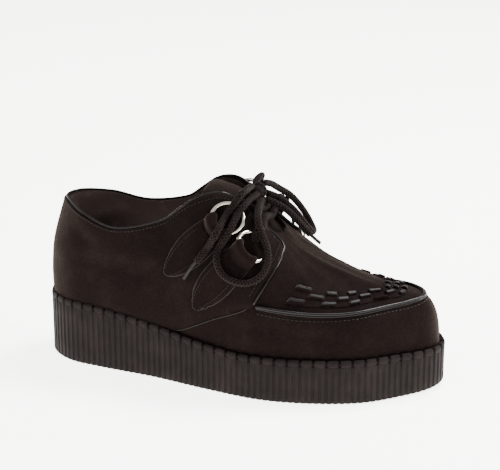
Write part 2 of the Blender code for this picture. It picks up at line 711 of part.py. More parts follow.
def ring(name, place, side):
    """Round metal ring that lies on the quarter."""
    _, _, centre, axis = ring_seat(place, side)
    turned = Vector(axis).to_track_quat("Z", "Y").to_euler()
    bpy.ops.mesh.primitive_torus_add(location=Vector(centre) + Vector(PLACE), rotation=turned,
                                     major_radius=RING_RADIUS, minor_radius=RING_WIRE,
                                     major_segments=RING_SIDES, minor_segments=WIRE_SIDES)
    piece = bpy.context.object
    piece.name = name
    piece.data.name = name
    piece.data.materials.append(material("silver metal", (0.75, 0.74, 0.72), 0.25, 1.0))


def leaf_tab(name, place, side):
    """Leaf-shaped tab that passes over a ring's wire and is sewn down along the quarter."""
    lap, rise, centre, axis = ring_seat(place, side)
    tip = last(on_side(place["tip_turn"], side), place["tip_rise"])
    way = unit(tip - last(lap, rise))
    low = OVERLAY_GAP + QUARTER + TAB_GAP
    wires, reach, half, rounding, over = (np.array(column)[:, None] for column in zip(*LEAF_ROWS))
    run = RING_RADIUS + wires * RING_WIRE + reach * (LEAF_LENGTH - RING_RADIUS)
    aside = np.array(LEAF_SIDES) * half * LEAF_WIDTH
    back = (run - np.sqrt(run ** 2 - aside ** 2)) * rounding
    axis_lap, axis_rise, faced = walk(lap, rise, way, run - back)
    leaf_lap, leaf_rise, _ = walk(axis_lap, axis_rise, np.cross(faced, square(axis_lap, axis_rise)), aside)
    normal = square(leaf_lap, leaf_rise)
    rounding = rounding[..., None]
    under = last(leaf_lap, leaf_rise)
    flat = unit(under - centre - axis * ((under - centre) @ axis)[..., None])
    reached = last(*walk(lap, rise, flat, run)[:2]) - centre
    reached = np.linalg.norm(reached - axis * (reached @ axis)[..., None], axis=-1)
    circle = last(*walk(lap, rise, flat, run * run / reached)[:2])
    under = circle * rounding + under * (1 - rounding)
    way_out = unit(axis * rounding + normal * (1 - rounding))
    level = low / dot(way_out, normal)
    top = (RING_WIRE + FIT - (under - centre) @ axis) / (way_out @ axis)
    inner = under + way_out * (level + (top - level) * over)[..., None]
    points, faces = slab(inner + grid_normals(inner) * TAB, inner, False)
    add_piece(name, points, faces, suede())


def over_facing(turn, side):
    """Where the lace passes over a facing's piping."""
    lap = on_side(turn, side)
    _, across = tangents(lap, 2.0)
    up = unit(across)
    bead = last(lap, 2.0) + up * (COLLAR_PIPING + OVERLAY_GAP + FIT)
    clear = COLLAR_PIPING + OVERLAY_GAP + LACE / 2
    return bead + unit(up + square(lap, 2.0)) * clear


def at_ring(place, side, turn):
    """Where the lace leaves a ring towards a facing, beside the ring's wire."""
    lap, rise, centre, axis = ring_seat(place, side)
    way = unit(over_facing(turn, side) - centre)
    flat = unit(way - (way @ axis) * axis)
    return centre + flat * (RING_RADIUS + RING_WIRE + LACE / 2 + OVERLAY_GAP) + axis * LACE / 2


def lace_crossings():
    """Lace's runs from ring to ring over the tongue, joined where they cross."""
    routes = []
    for near_ring, near_turn, middle, far_turn, far_ring in CROSSINGS:
        routes.append([at_ring(RINGS[near_ring], -1, near_turn), over_facing(near_turn, -1), middle,
                       over_facing(far_turn, 1), at_ring(RINGS[far_ring], 1, far_turn)])
    strands = []
    for k, route in enumerate(routes):
        tube = add_tube("strand", follow(route, CROSSING_STEP), LACE / 2, 1, lace_cloth())
        solid = bpy.data.meshes.new_from_object(tube.evaluated_get(bpy.context.evaluated_depsgraph_get()))
        bpy.data.objects.remove(tube, do_unlink=True)
        solid.materials.clear()
        strands.append(add_object("lace_crossings" if k == 0 else f"strand_{k}", solid, lace_cloth()))
    for strand in strands[1:]:
        strand.hide_render = True
        strand.display_type = "WIRE"
        join = strands[0].modifiers.new("join", "BOOLEAN")
        join.operation = "UNION"
        join.object = strand


def lace_knot():
    """Knot that ties the free lace over the tongue."""
    bpy.ops.mesh.primitive_uv_sphere_add(segments=KNOT_SIDES, ring_count=KNOT_SIDES // 2 + 1,
                                         location=Vector(KNOT_PLACE) + Vector(PLACE))
    piece = bpy.context.object
    piece.name = "lace_knot"
    for vertex in piece.data.vertices:
        vertex.co = Vector(KNOT) * vertex.co
    piece.data.materials.append(lace_cloth())


for old in list(bpy.data.objects):
    bpy.data.objects.remove(old, do_unlink=True)

EDGE_LAPS = np.linspace(0, 2, FINE_STEPS + 1)
EDGE = outline(EDGE_LAPS)
EDGE_RUN = run_length(EDGE)
PLACE = (-SOLE_LENGTH / 2, -(EDGE[:, 1].max() + EDGE[:, 1].min()) / 2, 0.0)

sole()
insole()
upper()
tongue()
add_piece("quarter_outer", *quarter(-1), suede())
add_piece("quarter_inner", *quarter(1), suede())
collar_piping()
apron_piping()
woven_band()
for side_name, side in (("outer", -1), ("inner", 1)):
    for level_name, place in RINGS.items():
        ring(f"ring_{side_name}_{level_name}", place, side)
        leaf_tab(f"tab_{side_name}_{level_name}", place, side)
lace_crossings()
lace_knot()
for name, route in LACE_ROUTES.items():
    add_tube(name, follow(route, LACE_STEP), LACE / 2, 2, lace_cloth())
for name, route in AGLET_ROUTES.items():
    add_tube(name, follow(route, LACE_STEP), AGLET / 2, 2, material("lace tip", (0.10, 0.09, 0.09), 0.4))
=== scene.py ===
"""Looks of a low black suede lace-up shoe on a ribbed wedge sole, right foot.

Lengths are in metres.  A place on the upper is given by its lap and its rise, as in the part's
source: the lap runs once round the shoe, 0 at the heel, 1 at the toe and back to 2, and the rise
is 0 at the sole, 1 at the apron seam and 2 at the rim.  A turn is the lap counted from the heel.
"""

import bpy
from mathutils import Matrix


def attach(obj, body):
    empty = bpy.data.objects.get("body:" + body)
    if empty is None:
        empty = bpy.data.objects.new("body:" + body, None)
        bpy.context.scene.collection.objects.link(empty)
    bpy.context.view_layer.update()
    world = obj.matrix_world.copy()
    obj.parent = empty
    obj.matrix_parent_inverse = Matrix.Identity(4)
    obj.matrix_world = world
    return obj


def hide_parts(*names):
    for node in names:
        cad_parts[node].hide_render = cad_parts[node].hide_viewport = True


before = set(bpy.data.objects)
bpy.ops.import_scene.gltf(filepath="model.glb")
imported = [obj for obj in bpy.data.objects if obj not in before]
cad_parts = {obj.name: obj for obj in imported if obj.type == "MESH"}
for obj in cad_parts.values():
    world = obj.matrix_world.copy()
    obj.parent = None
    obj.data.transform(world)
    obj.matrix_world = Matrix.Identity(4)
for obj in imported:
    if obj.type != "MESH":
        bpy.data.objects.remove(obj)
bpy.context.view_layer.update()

import math

import bmesh
import bpy
import numpy as np
from mathutils import Vector
from mathutils.kdtree import KDTree

# Main sizes
SOLE_LENGTH = 0.265
BALL_WIDTH = 0.100
HEEL_STACK = 0.0425
FORE_STACK = 0.0285
HEEL_HEIGHT = 0.064
INSTEP_HEIGHT = 0.091
TOE_WALL = 0.030
TOE_SPRING = 0.0025

# Layers and fits.  SKIM is how far thin things stand off what they lie on.
FIT = 0.0003
LEDGE = 0.0035
WALL = 0.0020
OVERLAY_GAP = 0.0010
QUARTER = 0.0011
SKIM = 0.0001

# Sole's rim and ribs.  A cut has a flat floor and slopes up over a run to either side.
RIB_PITCH = 0.0082
RIB_COLUMNS = 16
NOTCH_DEPTH = 0.0013
SIDE_NOTCH = 0.55 * NOTCH_DEPTH
SIDE_GROOVE = 0.00066
CUT_FLOOR = 0.0004
CUT_SLOPE = 0.0006
BLOCK_UP = 0.0008
RIM_BAND = 0.0032
TREAD_ROUND = 0.0014
TREAD_INSET = 0.0028

# Trim: radii of the pipings in the solids, and of the beads and thin edge lines drawn here
COLLAR_PIPING = 0.0011
COLLAR_BEAD = 0.62 * COLLAR_PIPING
APRON_PIPING = 0.0014
APRON_BEAD = 0.70 * APRON_PIPING
WELT_BEAD = 0.0006
EDGE_LINE = 0.00026

# Stitches: length, pitch and radius
TOPLINE_STITCH = (0.0017, 0.0024, 0.00022)
APRON_STITCH = (0.0018, 0.0027, 0.00024)
TAB_STITCH = (0.0014, 0.0021, 0.0002)

# Rings and the leaf-shaped tabs that hold them
RING_RADIUS = 0.0102
RING_WIRE = 0.0013
TAB = 0.0012
LEAF_LENGTH = 0.052
LEAF_WIDTH = 0.022

# Lace
LACE = 0.0045
LACE_SIDES = 14
AGLET = 0.0022
AGLET_LAP = 0.0006
KNOT = (0.0055, 0.0062, 0.0054)
KNOT_CORE = 0.86
KNOT_WAIST = 0.22
WRAP_REACH = 0.66
BRAID_TURNS = 5
BRAID_PITCH = 0.0021

# Shares of the sole's length where the wedge starts and ends, and where the toe lifts
WEDGE_FROM = 0.096
WEDGE_TO = 0.570
SPRING_FROM = 0.880

# Least share of its width that the apron keeps over the toe
TOE_SPREAD = 0.25

# Outline of the sole: half widths as shares of BALL_WIDTH, before they are closed at the ends
OUTLINE = {
    "turn": (0.00, 0.18, 0.26, 0.37, 0.47, 0.565, 0.645, 0.74, 0.83, 1.00),
    "outer": (0.57, 0.530, 0.466, 0.440, 0.507, 0.592, 0.615, 0.610, 0.525, 0.545),
    "inner": (0.57, 0.550, 0.477, 0.365, 0.340, 0.413, 0.490, 0.560, 0.605, 0.545),
}

# Sections of the upper, a row for each turn from heel to toe.
# along: the rim's place, as a share of SOLE_LENGTH.  full: its half width, of BALL_WIDTH.
# heel, instep: its height above the sole, of HEEL_HEIGHT and INSTEP_HEIGHT.
# seam_in, seam_up: the apron seam's line, of BALL_WIDTH and TOE_WALL.
# belly_out, belly_up: fullness of the lower wall, of BALL_WIDTH and of the seam's height.
# lean_low, lean_top: degrees off upright just above the seam's line and at the rim.
# pull_low, pull_top: how far those leans reach, as shares of the chord between them.
SECTION_COLUMNS = ("turn", "along", "full", "heel", "instep", "seam_in", "seam_up", "belly_out",
                   "belly_up", "lean_low", "pull_low", "lean_top", "pull_top")
SECTION_ROWS = (
    (0.00, 0.048, 0.400, 1.000, 0.000, 0.003, 0.950, 0.012, 0.50, 6, 0.33, 16, 0.33),
    (0.10, 0.070, 0.404, 0.995, 0.000, 0.003, 0.950, 0.012, 0.50, 6, 0.33, 15, 0.33),
    (0.20, 0.125, 0.446, 0.940, 0.000, 0.000, 0.950, 0.013, 0.50, 6, 0.33, 10, 0.33),
    (0.30, 0.215, 0.408, 0.880, 0.000, 0.000, 0.950, 0.014, 0.50, 6, 0.33, 8, 0.33),
    (0.40, 0.332, 0.294, 0.450, 0.430, 0.010, 0.970, 0.013, 0.50, 8, 0.33, 14, 0.33),
    (0.45, 0.400, 0.258, 0.100, 0.857, 0.014, 1.000, 0.011, 0.50, 9, 0.32, 24, 0.33),
    (0.50, 0.460, 0.195, 0.000, 1.000, 0.020, 1.035, 0.010, 0.50, 11, 0.30, 38, 0.34),
    (0.55, 0.506, 0.167, 0.000, 0.951, 0.028, 1.050, 0.008, 0.52, 16, 0.28, 48, 0.34),
    (0.60, 0.547, 0.163, 0.000, 0.845, 0.045, 0.970, 0.006, 0.60, 38, 0.26, 52, 0.33),
    (0.65, 0.577, 0.146, 0.000, 0.767, 0.062, 0.905, 0.005, 0.65, 54, 0.28, 55, 0.32),
    (0.70, 0.5925, 0.117, 0.000, 0.740, 0.080, 0.885, 0.004, 0.70, 67, 0.30, 50, 0.30),
    (0.80, 0.602, 0.094, 0.000, 0.728, 0.093, 0.935, 0.002, 0.75, 76, 0.32, 45, 0.28),
    (0.90, 0.606, 0.084, 0.000, 0.725, 0.100, 0.990, 0.001, 0.80, 80, 0.32, 42, 0.26),
    (1.00, 0.6075, 0.082, 0.000, 0.724, 0.103, 1.015, 0.000, 0.80, 81, 0.32, 42, 0.26),
)
SECTIONS = dict(zip(SECTION_COLUMNS, zip(*SECTION_ROWS)))

# Front edge of the quarters: from the sole up to the apron seam, on up to the facing's round
# corner, and back to the rim
QUARTER_EDGE = {
    "rise": (0.0, 0.16, 0.375, 0.58, 0.73, 0.865, 1.0, 1.12, 1.285, 1.455, 1.575, 1.695, 1.77,
             1.82, 1.89, 1.95, 2.0),
    "turn": (0.418, 0.436, 0.461, 0.486, 0.509, 0.532, 0.5463, 0.556, 0.575, 0.601, 0.624, 0.646,
             0.661, 0.669, 0.665, 0.652, 0.636),
}

# Quarters: lowest rise, rearmost turn, share of the height left at their borders, how much thinner
# they run at the lower front seam, and how far the stitch row keeps from the top and the front
QUARTER_FOOT = 0.02
QUARTER_BACK = 0.0006
QUARTER_RIM = 0.45
SEAM_THIN = 0.0012
TOPLINE_RISE = 1.945
TOPLINE_IN = 0.0115

# Collar piping: the turn where it leaves the facing's round corner, and its height there as a
# share of its height on the quarter
PIPING_CORNER = 0.615
PIPING_DROP = 0.7

# Woven band inside the apron seam: its outer edge, its rear ends' slant and its inner edge
BAND_OUTER_RISE = 1.11
BAND_REAR = 0.601
BAND_SLANT = 0.040
BAND_INNER = {
    "turn": (0.60, 0.64, 0.70, 0.78, 0.85, 1.00),
    "rise": (1.40, 1.375, 1.31, 1.27, 1.26, 1.27),
}
BAND_STRIPS = 3
BAND_CELLS = 20

# Woven band: height of a raised strip's foot and crown over it, the same for the gaps between, and
# how near to a raised strip a face counts as part of it
STRIP_FOOT = 0.0004
STRIP_CROWN = 0.0018
GAP_FOOT = 0.0003
GAP_CROWN = 0.0004
ON_STRIP = 0.0005

# Rings: the turn and rise of their middles and of their tabs' tips
RINGS = {
    "high": {"turn": 0.516, "rise": 1.755, "tip_turn": 0.410, "tip_rise": 1.240},
    "low": {"turn": 0.565, "rise": 1.575, "tip_turn": 0.4475, "tip_rise": 0.850},
}

# Leaf, a row for each step from inside the ring to the tip.
# wires: radii of wire past the ring's circle.  reach: share of the way from there to the tip.
# half: half width, of LEAF_WIDTH.  round: how far the row follows the ring's circle.
# over: share of the height of the hump over the ring's wire.
LEAF_COLUMNS = ("wires", "reach", "half", "round", "over")
LEAF_ROWS = (
    (-3.6, 0.00, 0.200, 1.0, 0.0),
    (-2.4, 0.00, 0.204, 1.0, 0.0),
    (-1.1, 0.00, 0.205, 1.0, 1.0),
    (1.1, 0.00, 0.214, 1.0, 1.0),
    (2.7, 0.00, 0.236, 1.0, 0.0),
    (0.0, 0.13, 0.336, 0.5, 0.0),
    (0.0, 0.21, 0.450, 0.2, 0.0),
    (0.0, 0.35, 0.500, 0.0, 0.0),
    (0.0, 0.52, 0.482, 0.0, 0.0),
    (0.0, 0.69, 0.410, 0.0, 0.0),
    (0.0, 0.83, 0.309, 0.0, 0.0),
    (0.0, 0.94, 0.190, 0.0, 0.0),
    (0.0, 1.00, 0.070, 0.0, 0.0),
)

# Least half width of the leaf over the ring, by row, and how many cells it has across and along
LEAF_END = {
    "row": (0, 1, 2, 3, 4, 5, 6, 7),
    "half": (0.20, 0.29, 0.36, 0.41, 0.44, 0.47, 0.49, 0.50),
}
LEAF_GRID = (20, 96)

# Leaf's border: share of its half width that rounds off, share of its height left there, and the
# lip along the stitch line; then where that line starts on the grid, and the edge line's first row
LEAF_ROUND = 0.22
LEAF_RIM = 0.35
LIP = 0.00025
STITCH_ROW = 44
STITCH_COLUMN = 3
EDGE_ROW = 34

# Lace over the tongue: each strand's ring and facing turn on the outer side, its middle, and its
# facing turn and ring on the inner side
CROSSINGS = (
    ("low", 0.626, (0.1516, 0.0, 0.1040), 0.626, "low"),
    ("low", 0.600, (0.1470, 0.0, 0.1090), 0.556, "high"),
    ("high", 0.556, (0.1470, 0.0, 0.1090), 0.600, "low"),
)
KNOT_PLACE = (0.1424, -0.0010, 0.1196)

# Free lace: routes from the knot outwards
LACE_ROUTES = {
    "lace_loop_outer": (
        (0.1438, -0.0088, 0.1196), (0.1418, -0.0174, 0.1188), (0.1405, -0.0287, 0.1172),
        (0.1380, -0.0322, 0.1131), (0.1343, -0.0415, 0.1027), (0.1285, -0.0431, 0.0930),
        (0.1286, -0.0478, 0.0867), (0.1329, -0.0504, 0.0792), (0.1420, -0.0528, 0.0757),
        (0.1498, -0.0512, 0.0752), (0.1567, -0.0483, 0.0788), (0.1600, -0.0425, 0.0857),
        (0.1584, -0.0376, 0.0941), (0.1536, -0.0324, 0.1014), (0.1504, -0.0303, 0.1090),
        (0.1484, -0.0224, 0.1137), (0.1466, -0.0079, 0.1154),
    ),
    "lace_loop_inner": (
        (0.1437, 0.0066, 0.1229), (0.1470, 0.0131, 0.1208), (0.1506, 0.0200, 0.1160),
        (0.1560, 0.0260, 0.1106), (0.1610, 0.0300, 0.1037), (0.1656, 0.0330, 0.0957),
        (0.1690, 0.0335, 0.0892), (0.1714, 0.0305, 0.0862), (0.1716, 0.0262, 0.0864),
        (0.1696, 0.0215, 0.0909), (0.1662, 0.0172, 0.0974), (0.1622, 0.0147, 0.1037),
        (0.1566, 0.0128, 0.1091), (0.1510, 0.0103, 0.1135), (0.1464, 0.0064, 0.1164),
    ),
    "lace_end_outer": (
        (0.1399, -0.0078, 0.1243), (0.1402, -0.0182, 0.1254), (0.1388, -0.0279, 0.1247),
        (0.1350, -0.0299, 0.1188), (0.1304, -0.0339, 0.1114), (0.1279, -0.0456, 0.1038),
        (0.1216, -0.0439, 0.0932), (0.1173, -0.0459, 0.0872), (0.1148, -0.0463, 0.0842),
    ),
    "lace_end_inner": (
        (0.1484, -0.0011, 0.1143), (0.1541, -0.0001, 0.1118), (0.1596, 0.0015, 0.1084),
        (0.1648, 0.0040, 0.1028), (0.1701, 0.0070, 0.0956), (0.1743, 0.0090, 0.0901),
    ),
}
AGLET_ROUTES = {
    "aglet_outer": ((0.1145, -0.0464, 0.0839), (0.1109, -0.0464, 0.0788), (0.1064, -0.0452, 0.0718)),
    "aglet_inner": ((0.1746, 0.0091, 0.0898), (0.1774, 0.0105, 0.0867), (0.1806, 0.0115, 0.0838)),
}

# Columns and rows of the draped sheets, and degrees between faces past which an edge stays sharp
UPPER_GRID = (300, 64)
QUARTER_GRID = (150, 70)
SHARP = 50
SOLE_SHARP = 38

# Points on the smooth curves, steps between them, and how near corners join
FRONT_POINTS = 12
TOPLINE_POINTS = 24
SEAM_POINTS = 160
RING_SIDES = 18
WALK_STEPS = 12
FINE_STEPS = 2000
STEP = 1e-4
CORD_STEP = 0.0015
BEAD_STEP = 0.0018
JOIN = 1e-6


def smooth(table, column, at):
    """A column's value on a smooth curve through a table's rows, keyed by its first column."""
    keys = np.array(next(iter(table.values())), float)
    values = np.array(table[column], float)
    slopes = np.zeros(len(keys))
    slopes[1:-1] = (values[2:] - values[:-2]) / (keys[2:] - keys[:-2])
    at = np.clip(at, keys[0], keys[-1])
    row = np.clip(np.searchsorted(keys, at, side="right") - 1, 0, len(keys) - 2)
    span = keys[row + 1] - keys[row]
    f = (at - keys[row]) / span
    low = values[row] * (1 + 2 * f) * (1 - f) ** 2 + slopes[row] * span * f * (1 - f) ** 2
    high = values[row + 1] * f * f * (3 - 2 * f) + slopes[row + 1] * span * f * f * (f - 1)
    return low + high


def fold(lap):
    """Turn from heel to toe, 0 to 1, and side, -1 outer or 1 inner, of a lap."""
    lap = np.mod(lap, 2.0)
    side = np.where(lap < 1, -1.0, 1.0)
    return 1 - np.abs(1 - lap), side


def on_side(turn, side):
    """Lap of a turn on the outer side, -1, or the inner side, 1."""
    return turn if side < 0 else 2 - turn


def outline(lap):
    """Plan of the sole's edge."""
    turn, side = fold(lap)
    half = np.where(side < 0, smooth(OUTLINE, "outer", turn), smooth(OUTLINE, "inner", turn))
    x = SOLE_LENGTH * (1 - np.cos(math.pi * turn)) / 2
    y = side * half * BALL_WIDTH * np.sin(math.pi * turn)
    return np.stack([x, y], -1)


def plan_normal(curve, lap):
    """Outward direction, in plan, of a closed curve that runs along the outer side first."""
    tangent = curve(lap + STEP)[..., :2] - curve(lap - STEP)[..., :2]
    length = np.linalg.norm(tangent, axis=-1, keepdims=True)
    return np.stack([tangent[..., 1], -tangent[..., 0]], -1) / length


def inset(lap, depth):
    """Plan of a line that keeps a depth inside the sole's edge."""
    depth = np.asarray(depth, float)[..., None]
    return outline(lap) - plan_normal(outline, lap) * depth


def sole_top(x):
    """Height of the sole's upper face."""
    f = np.clip((x / SOLE_LENGTH - WEDGE_FROM) / (WEDGE_TO - WEDGE_FROM), 0, 1)
    return HEEL_STACK + (FORE_STACK - HEEL_STACK) * f * f * (3 - 2 * f)


def sole_bottom(x):
    """Height of the sole's underside, flat up to the toe's lift."""
    f = np.clip((x / SOLE_LENGTH - SPRING_FROM) / (1 - SPRING_FROM), 0, 1)
    return TOE_SPRING * f * f


def rim(lap):
    """Line of the opening: the collar, the facings and the throat's round end."""
    turn, side = fold(lap)
    x = smooth(SECTIONS, "along", turn) * SOLE_LENGTH
    y = side * smooth(SECTIONS, "full", turn) * BALL_WIDTH * np.sin(math.pi * turn)
    up = smooth(SECTIONS, "heel", turn) * HEEL_HEIGHT + smooth(SECTIONS, "instep", turn) * INSTEP_HEIGHT
    return np.stack([x, y, sole_top(x) + up], -1)


def short_of_middle(start, end):
    """Sideways place of the end of an inward line, eased so that it never crosses the middle."""
    share = end / np.where(np.abs(start) < STEP ** 2, STEP ** 2, start)
    share = (share + TOE_SPREAD + np.sqrt((share - TOE_SPREAD) ** 2 + TOE_SPREAD ** 2)) / 2
    return start * share


def last(lap, rise):
    """Outer face of the upper at a lap and a rise."""
    lap, rise = np.broadcast_arrays(np.asarray(lap, float), np.asarray(rise, float))
    turn, _ = fold(lap)
    foot = inset(lap, np.full(lap.shape, LEDGE))
    away = plan_normal(outline, lap)
    base = sole_top(foot[..., 0]) + FIT
    seam_in = smooth(SECTIONS, "seam_in", turn) * BALL_WIDTH
    seam_up = smooth(SECTIONS, "seam_up", turn) * TOE_WALL
    belly_out = smooth(SECTIONS, "belly_out", turn) * BALL_WIDTH
    belly_up = smooth(SECTIONS, "belly_up", turn) * seam_up

    f = rise
    inward = f * f * seam_in - 2 * f * (1 - f) * belly_out
    up = f * f * seam_up + 2 * f * (1 - f) * belly_up
    wall = np.concatenate([foot - away * inward[..., None], (base + up)[..., None]], -1)

    seam = np.concatenate([foot - away * seam_in[..., None], (base + seam_up)[..., None]], -1)
    edge = rim(lap)
    chord = np.linalg.norm(edge - seam, axis=-1)
    lean = np.radians(smooth(SECTIONS, "lean_low", turn))
    pull = smooth(SECTIONS, "pull_low", turn) * chord
    low = seam + np.concatenate([-away * (pull * np.sin(lean))[..., None],
                                 (pull * np.cos(lean))[..., None]], -1)
    low[..., 1] = short_of_middle(seam[..., 1], low[..., 1])
    lean = np.radians(smooth(SECTIONS, "lean_top", turn))
    pull = smooth(SECTIONS, "pull_top", turn) * chord
    open_way = plan_normal(rim, lap)
    high = edge + np.concatenate([open_way * (pull * np.sin(lean))[..., None],
                                  -(pull * np.cos(lean))[..., None]], -1)
    f = (rise - 1)[..., None]
    panel = seam * (1 - f) ** 3 + low * 3 * f * (1 - f) ** 2 + high * 3 * f * f * (1 - f) + edge * f ** 3
    return np.where((rise <= 1)[..., None], wall, panel)


def unit(vector):
    """Vector, or each of an array of them, at a length of one."""
    return vector / np.linalg.norm(vector, axis=-1, keepdims=True)


def tangents(lap, rise):
    """How the upper's outer face moves for each unit of lap and of rise."""
    step = 10 * STEP
    along = (last(lap + step, rise) - last(lap - step, rise)) / (2 * step)
    across = (last(lap, rise + step) - last(lap, rise - step)) / (2 * step)
    return along, across


def square(lap, rise):
    """Direction square to the upper's outer face, pointing out."""
    return unit(np.cross(*tangents(lap, rise)))


def skin(lap, rise, out):
    """Point at a distance out from the upper's outer face, measured square to it."""
    lap, rise, out = np.broadcast_arrays(np.asarray(lap, float), np.asarray(rise, float),
                                         np.asarray(out, float))
    return last(lap, rise) + square(lap, rise) * out[..., None]


def dot(a, b):
    return (a * b).sum(axis=-1)


def walk(lap, rise, way, run):
    """Places reached after runs over the upper, and the ways faced there."""
    for _ in range(WALK_STEPS):
        along, across = tangents(lap, rise)
        mixed = dot(along, across)
        spread = dot(along, along) * dot(across, across) - mixed ** 2
        lap_pace = (dot(across, across) * dot(way, along) - mixed * dot(way, across)) / spread
        rise_pace = (dot(along, along) * dot(way, across) - mixed * dot(way, along)) / spread
        flat = along * lap_pace[..., None] + across * rise_pace[..., None]
        step = run / WALK_STEPS / np.linalg.norm(flat, axis=-1)
        lap = lap + lap_pace * step
        rise = rise + rise_pace * step
        way = unit(flat)
    return lap, rise, way


def run_length(points):
    """Distance run along a line at each of its points."""
    return np.concatenate([[0], np.cumsum(np.linalg.norm(np.diff(points, axis=0), axis=1))])


def edge_laps(shares):
    """Laps at shares of the way round the sole's edge."""
    return np.interp(shares, EDGE_RUN / EDGE_RUN[-1], EDGE_LAPS)


def edge_share(lap):
    """Share of the way round the sole's edge at a lap."""
    return np.interp(lap, EDGE_LAPS, EDGE_RUN / EDGE_RUN[-1])


def at_runs(line, run, at):
    """Points of a line at distances run along it."""
    return np.stack([np.interp(at, run, line[:, k]) for k in range(3)], -1)


def follow(route, spacing):
    """Points an even distance apart on a smooth curve through a route's own points."""
    route = np.array(route, float)
    keys = run_length(route)
    fine = np.linspace(0, keys[-1], FINE_STEPS)
    curve = np.stack([smooth({"run": keys, "place": route[:, k]}, "place", fine) for k in range(3)], -1)
    run = run_length(curve)
    even = np.linspace(0, run[-1], max(2, round(run[-1] / spacing) + 1))
    return at_runs(curve, run, even)


def grid_normals(grid):
    """Unit normals of an open grid of points, from the run of its rows and columns."""
    down = np.gradient(grid, axis=0)
    across = np.gradient(grid, axis=1)
    return unit(np.cross(across, down))


def ring_seat(place, side):
    """Lap and rise of a ring's middle, its centre, and its axis square to the quarter."""
    lap = on_side(place["turn"], side)
    rise = place["rise"]
    axis = square(lap, rise)
    along = unit(tangents(lap, rise)[0])
    angle = np.linspace(0, 2 * math.pi, RING_SIDES, endpoint=False)[:, None]
    ways = along * np.cos(angle) + np.cross(axis, along) * np.sin(angle)
    under_lap, under_rise, _ = walk(lap, rise, ways, RING_RADIUS)
    level = (last(under_lap, under_rise) - last(lap, rise)) @ axis
    lift = level.max() + OVERLAY_GAP + QUARTER + OVERLAY_GAP + RING_WIRE
    return lap, rise, last(lap, rise) + axis * lift, axis


def over_facing(turn, side):
    """Where the lace passes over a facing's piping."""
    lap = on_side(turn, side)
    _, across = tangents(lap, 2.0)
    up = unit(across)
    bead = last(lap, 2.0) + up * (COLLAR_PIPING + OVERLAY_GAP + FIT)
    clear = COLLAR_PIPING + OVERLAY_GAP + LACE / 2
    return bead + unit(up + square(lap, 2.0)) * clear


def at_ring(place, side, turn):
    """Where the lace leaves a ring towards a facing, beside the ring's wire."""
    lap, rise, centre, axis = ring_seat(place, side)
    way = unit(over_facing(turn, side) - centre)
    flat = unit(way - (way @ axis) * axis)
    return centre + flat * (RING_RADIUS + RING_WIRE + LACE / 2 + OVERLAY_GAP) + axis * LACE / 2


EDGE_LAPS = np.linspace(0, 2, FINE_STEPS + 1)
EDGE = outline(EDGE_LAPS)
EDGE_RUN = run_length(EDGE)
PLACE = (-SOLE_LENGTH / 2, -(EDGE[:, 1].max() + EDGE[:, 1].min()) / 2, 0.0)

# Camera fitted to the photograph
CAMERA_PLACE = (0.27727, -0.96002, 0.41786)
CAMERA_AIM = (-0.25826, 0.90060, -0.34756)
CAMERA_TURN = math.radians(16.0)
FOCAL_PIXELS = 1641.54
FRAME_WIDTH = 500
FRAME_HEIGHT = 470
MIDDLE_SEEN = (243.677, 299.118)
SENSOR = 36.0

# Floor's width, and area lights: place, size and power, all turned to the lit spot
FLOOR_SIZE = 16
LIT_SPOT = (0, 0, 0.05)
LAMPS = (
    ("over", (0.35, 0.50, 1.3), 0.40, 42.0),
    ("front", (-0.7, -1.4, 1.1), 1.2, 15.0),
    ("side", (1.15, 0.35, 0.85), 0.35, 24.0),
)

# Soft creases pressed into the upper: the middle's lap and rise, half length in lap, half width in
# rise, slant, and depth inwards
CREASES = (
    (0.585, 0.62, 0.050, 0.16, 0.5, 0.0009),
    (0.640, 0.45, 0.060, 0.14, -0.3, 0.0008),
    (0.330, 1.10, 0.080, 0.22, 0.4, 0.0010),
    (0.215, 1.55, 0.050, 0.18, -0.5, 0.0009),
    (0.120, 0.85, 0.045, 0.20, 0.2, 0.0008),
    (1.400, 0.60, 0.055, 0.16, 0.4, 0.0010),
    (1.340, 0.48, 0.060, 0.15, -0.4, 0.0009),
    (1.640, 1.15, 0.080, 0.22, 0.4, 0.0010),
    (1.800, 1.50, 0.050, 0.18, -0.4, 0.0009),
)

# Bulge beside each crease: its share of the depth, and half widths away
BULGE = 0.3
BULGE_AWAY = 1.8


def face(lap, rise, out=0.0):
    """Point of the finished upper at a height over it, with its soft creases, in the shoe's frame."""
    lap, rise, out = np.broadcast_arrays(np.asarray(lap, float), np.asarray(rise, float),
                                         np.asarray(out, float))
    depth = np.zeros(lap.shape)
    for middle, height, length, width, slant, press in CREASES:
        along = (lap - middle) / length
        across = (rise - height) / width - slant * along
        dent = np.exp(-along ** 2 - across ** 2)
        bulge = np.exp(-along ** 2 - (across - BULGE_AWAY) ** 2)
        depth += press * dent - BULGE * press * bulge
    return skin(lap, rise, out - depth) + np.array(PLACE)


def deselect():
    for item in list(bpy.context.selected_objects):
        item.select_set(False)


def pick(*pieces):
    """Select these pieces alone, the last one active."""
    deselect()
    for piece in pieces:
        piece.select_set(True)
    bpy.context.view_layer.objects.active = pieces[-1]
    return pieces[-1]


def linked(name, data):
    """Object with its data, in the scene."""
    piece = bpy.data.objects.new(name, data)
    bpy.context.scene.collection.objects.link(piece)
    return piece


def corners_of(piece):
    flat = np.zeros(len(piece.data.vertices) * 3)
    piece.data.vertices.foreach_get("co", flat)
    return flat.reshape(-1, 3)


def move_corners(piece, places):
    piece.data.vertices.foreach_set("co", places.astype(np.float32).ravel())
    piece.data.update()


def settle(piece, finish, node):
    """Give a piece its finish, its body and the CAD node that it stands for."""
    for one in (finish if isinstance(finish, (list, tuple)) else [finish]):
        piece.data.materials.append(one)
    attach(piece, "root")
    if node:
        piece.name = f"{node}_dressed"
        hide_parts(node)
    return piece


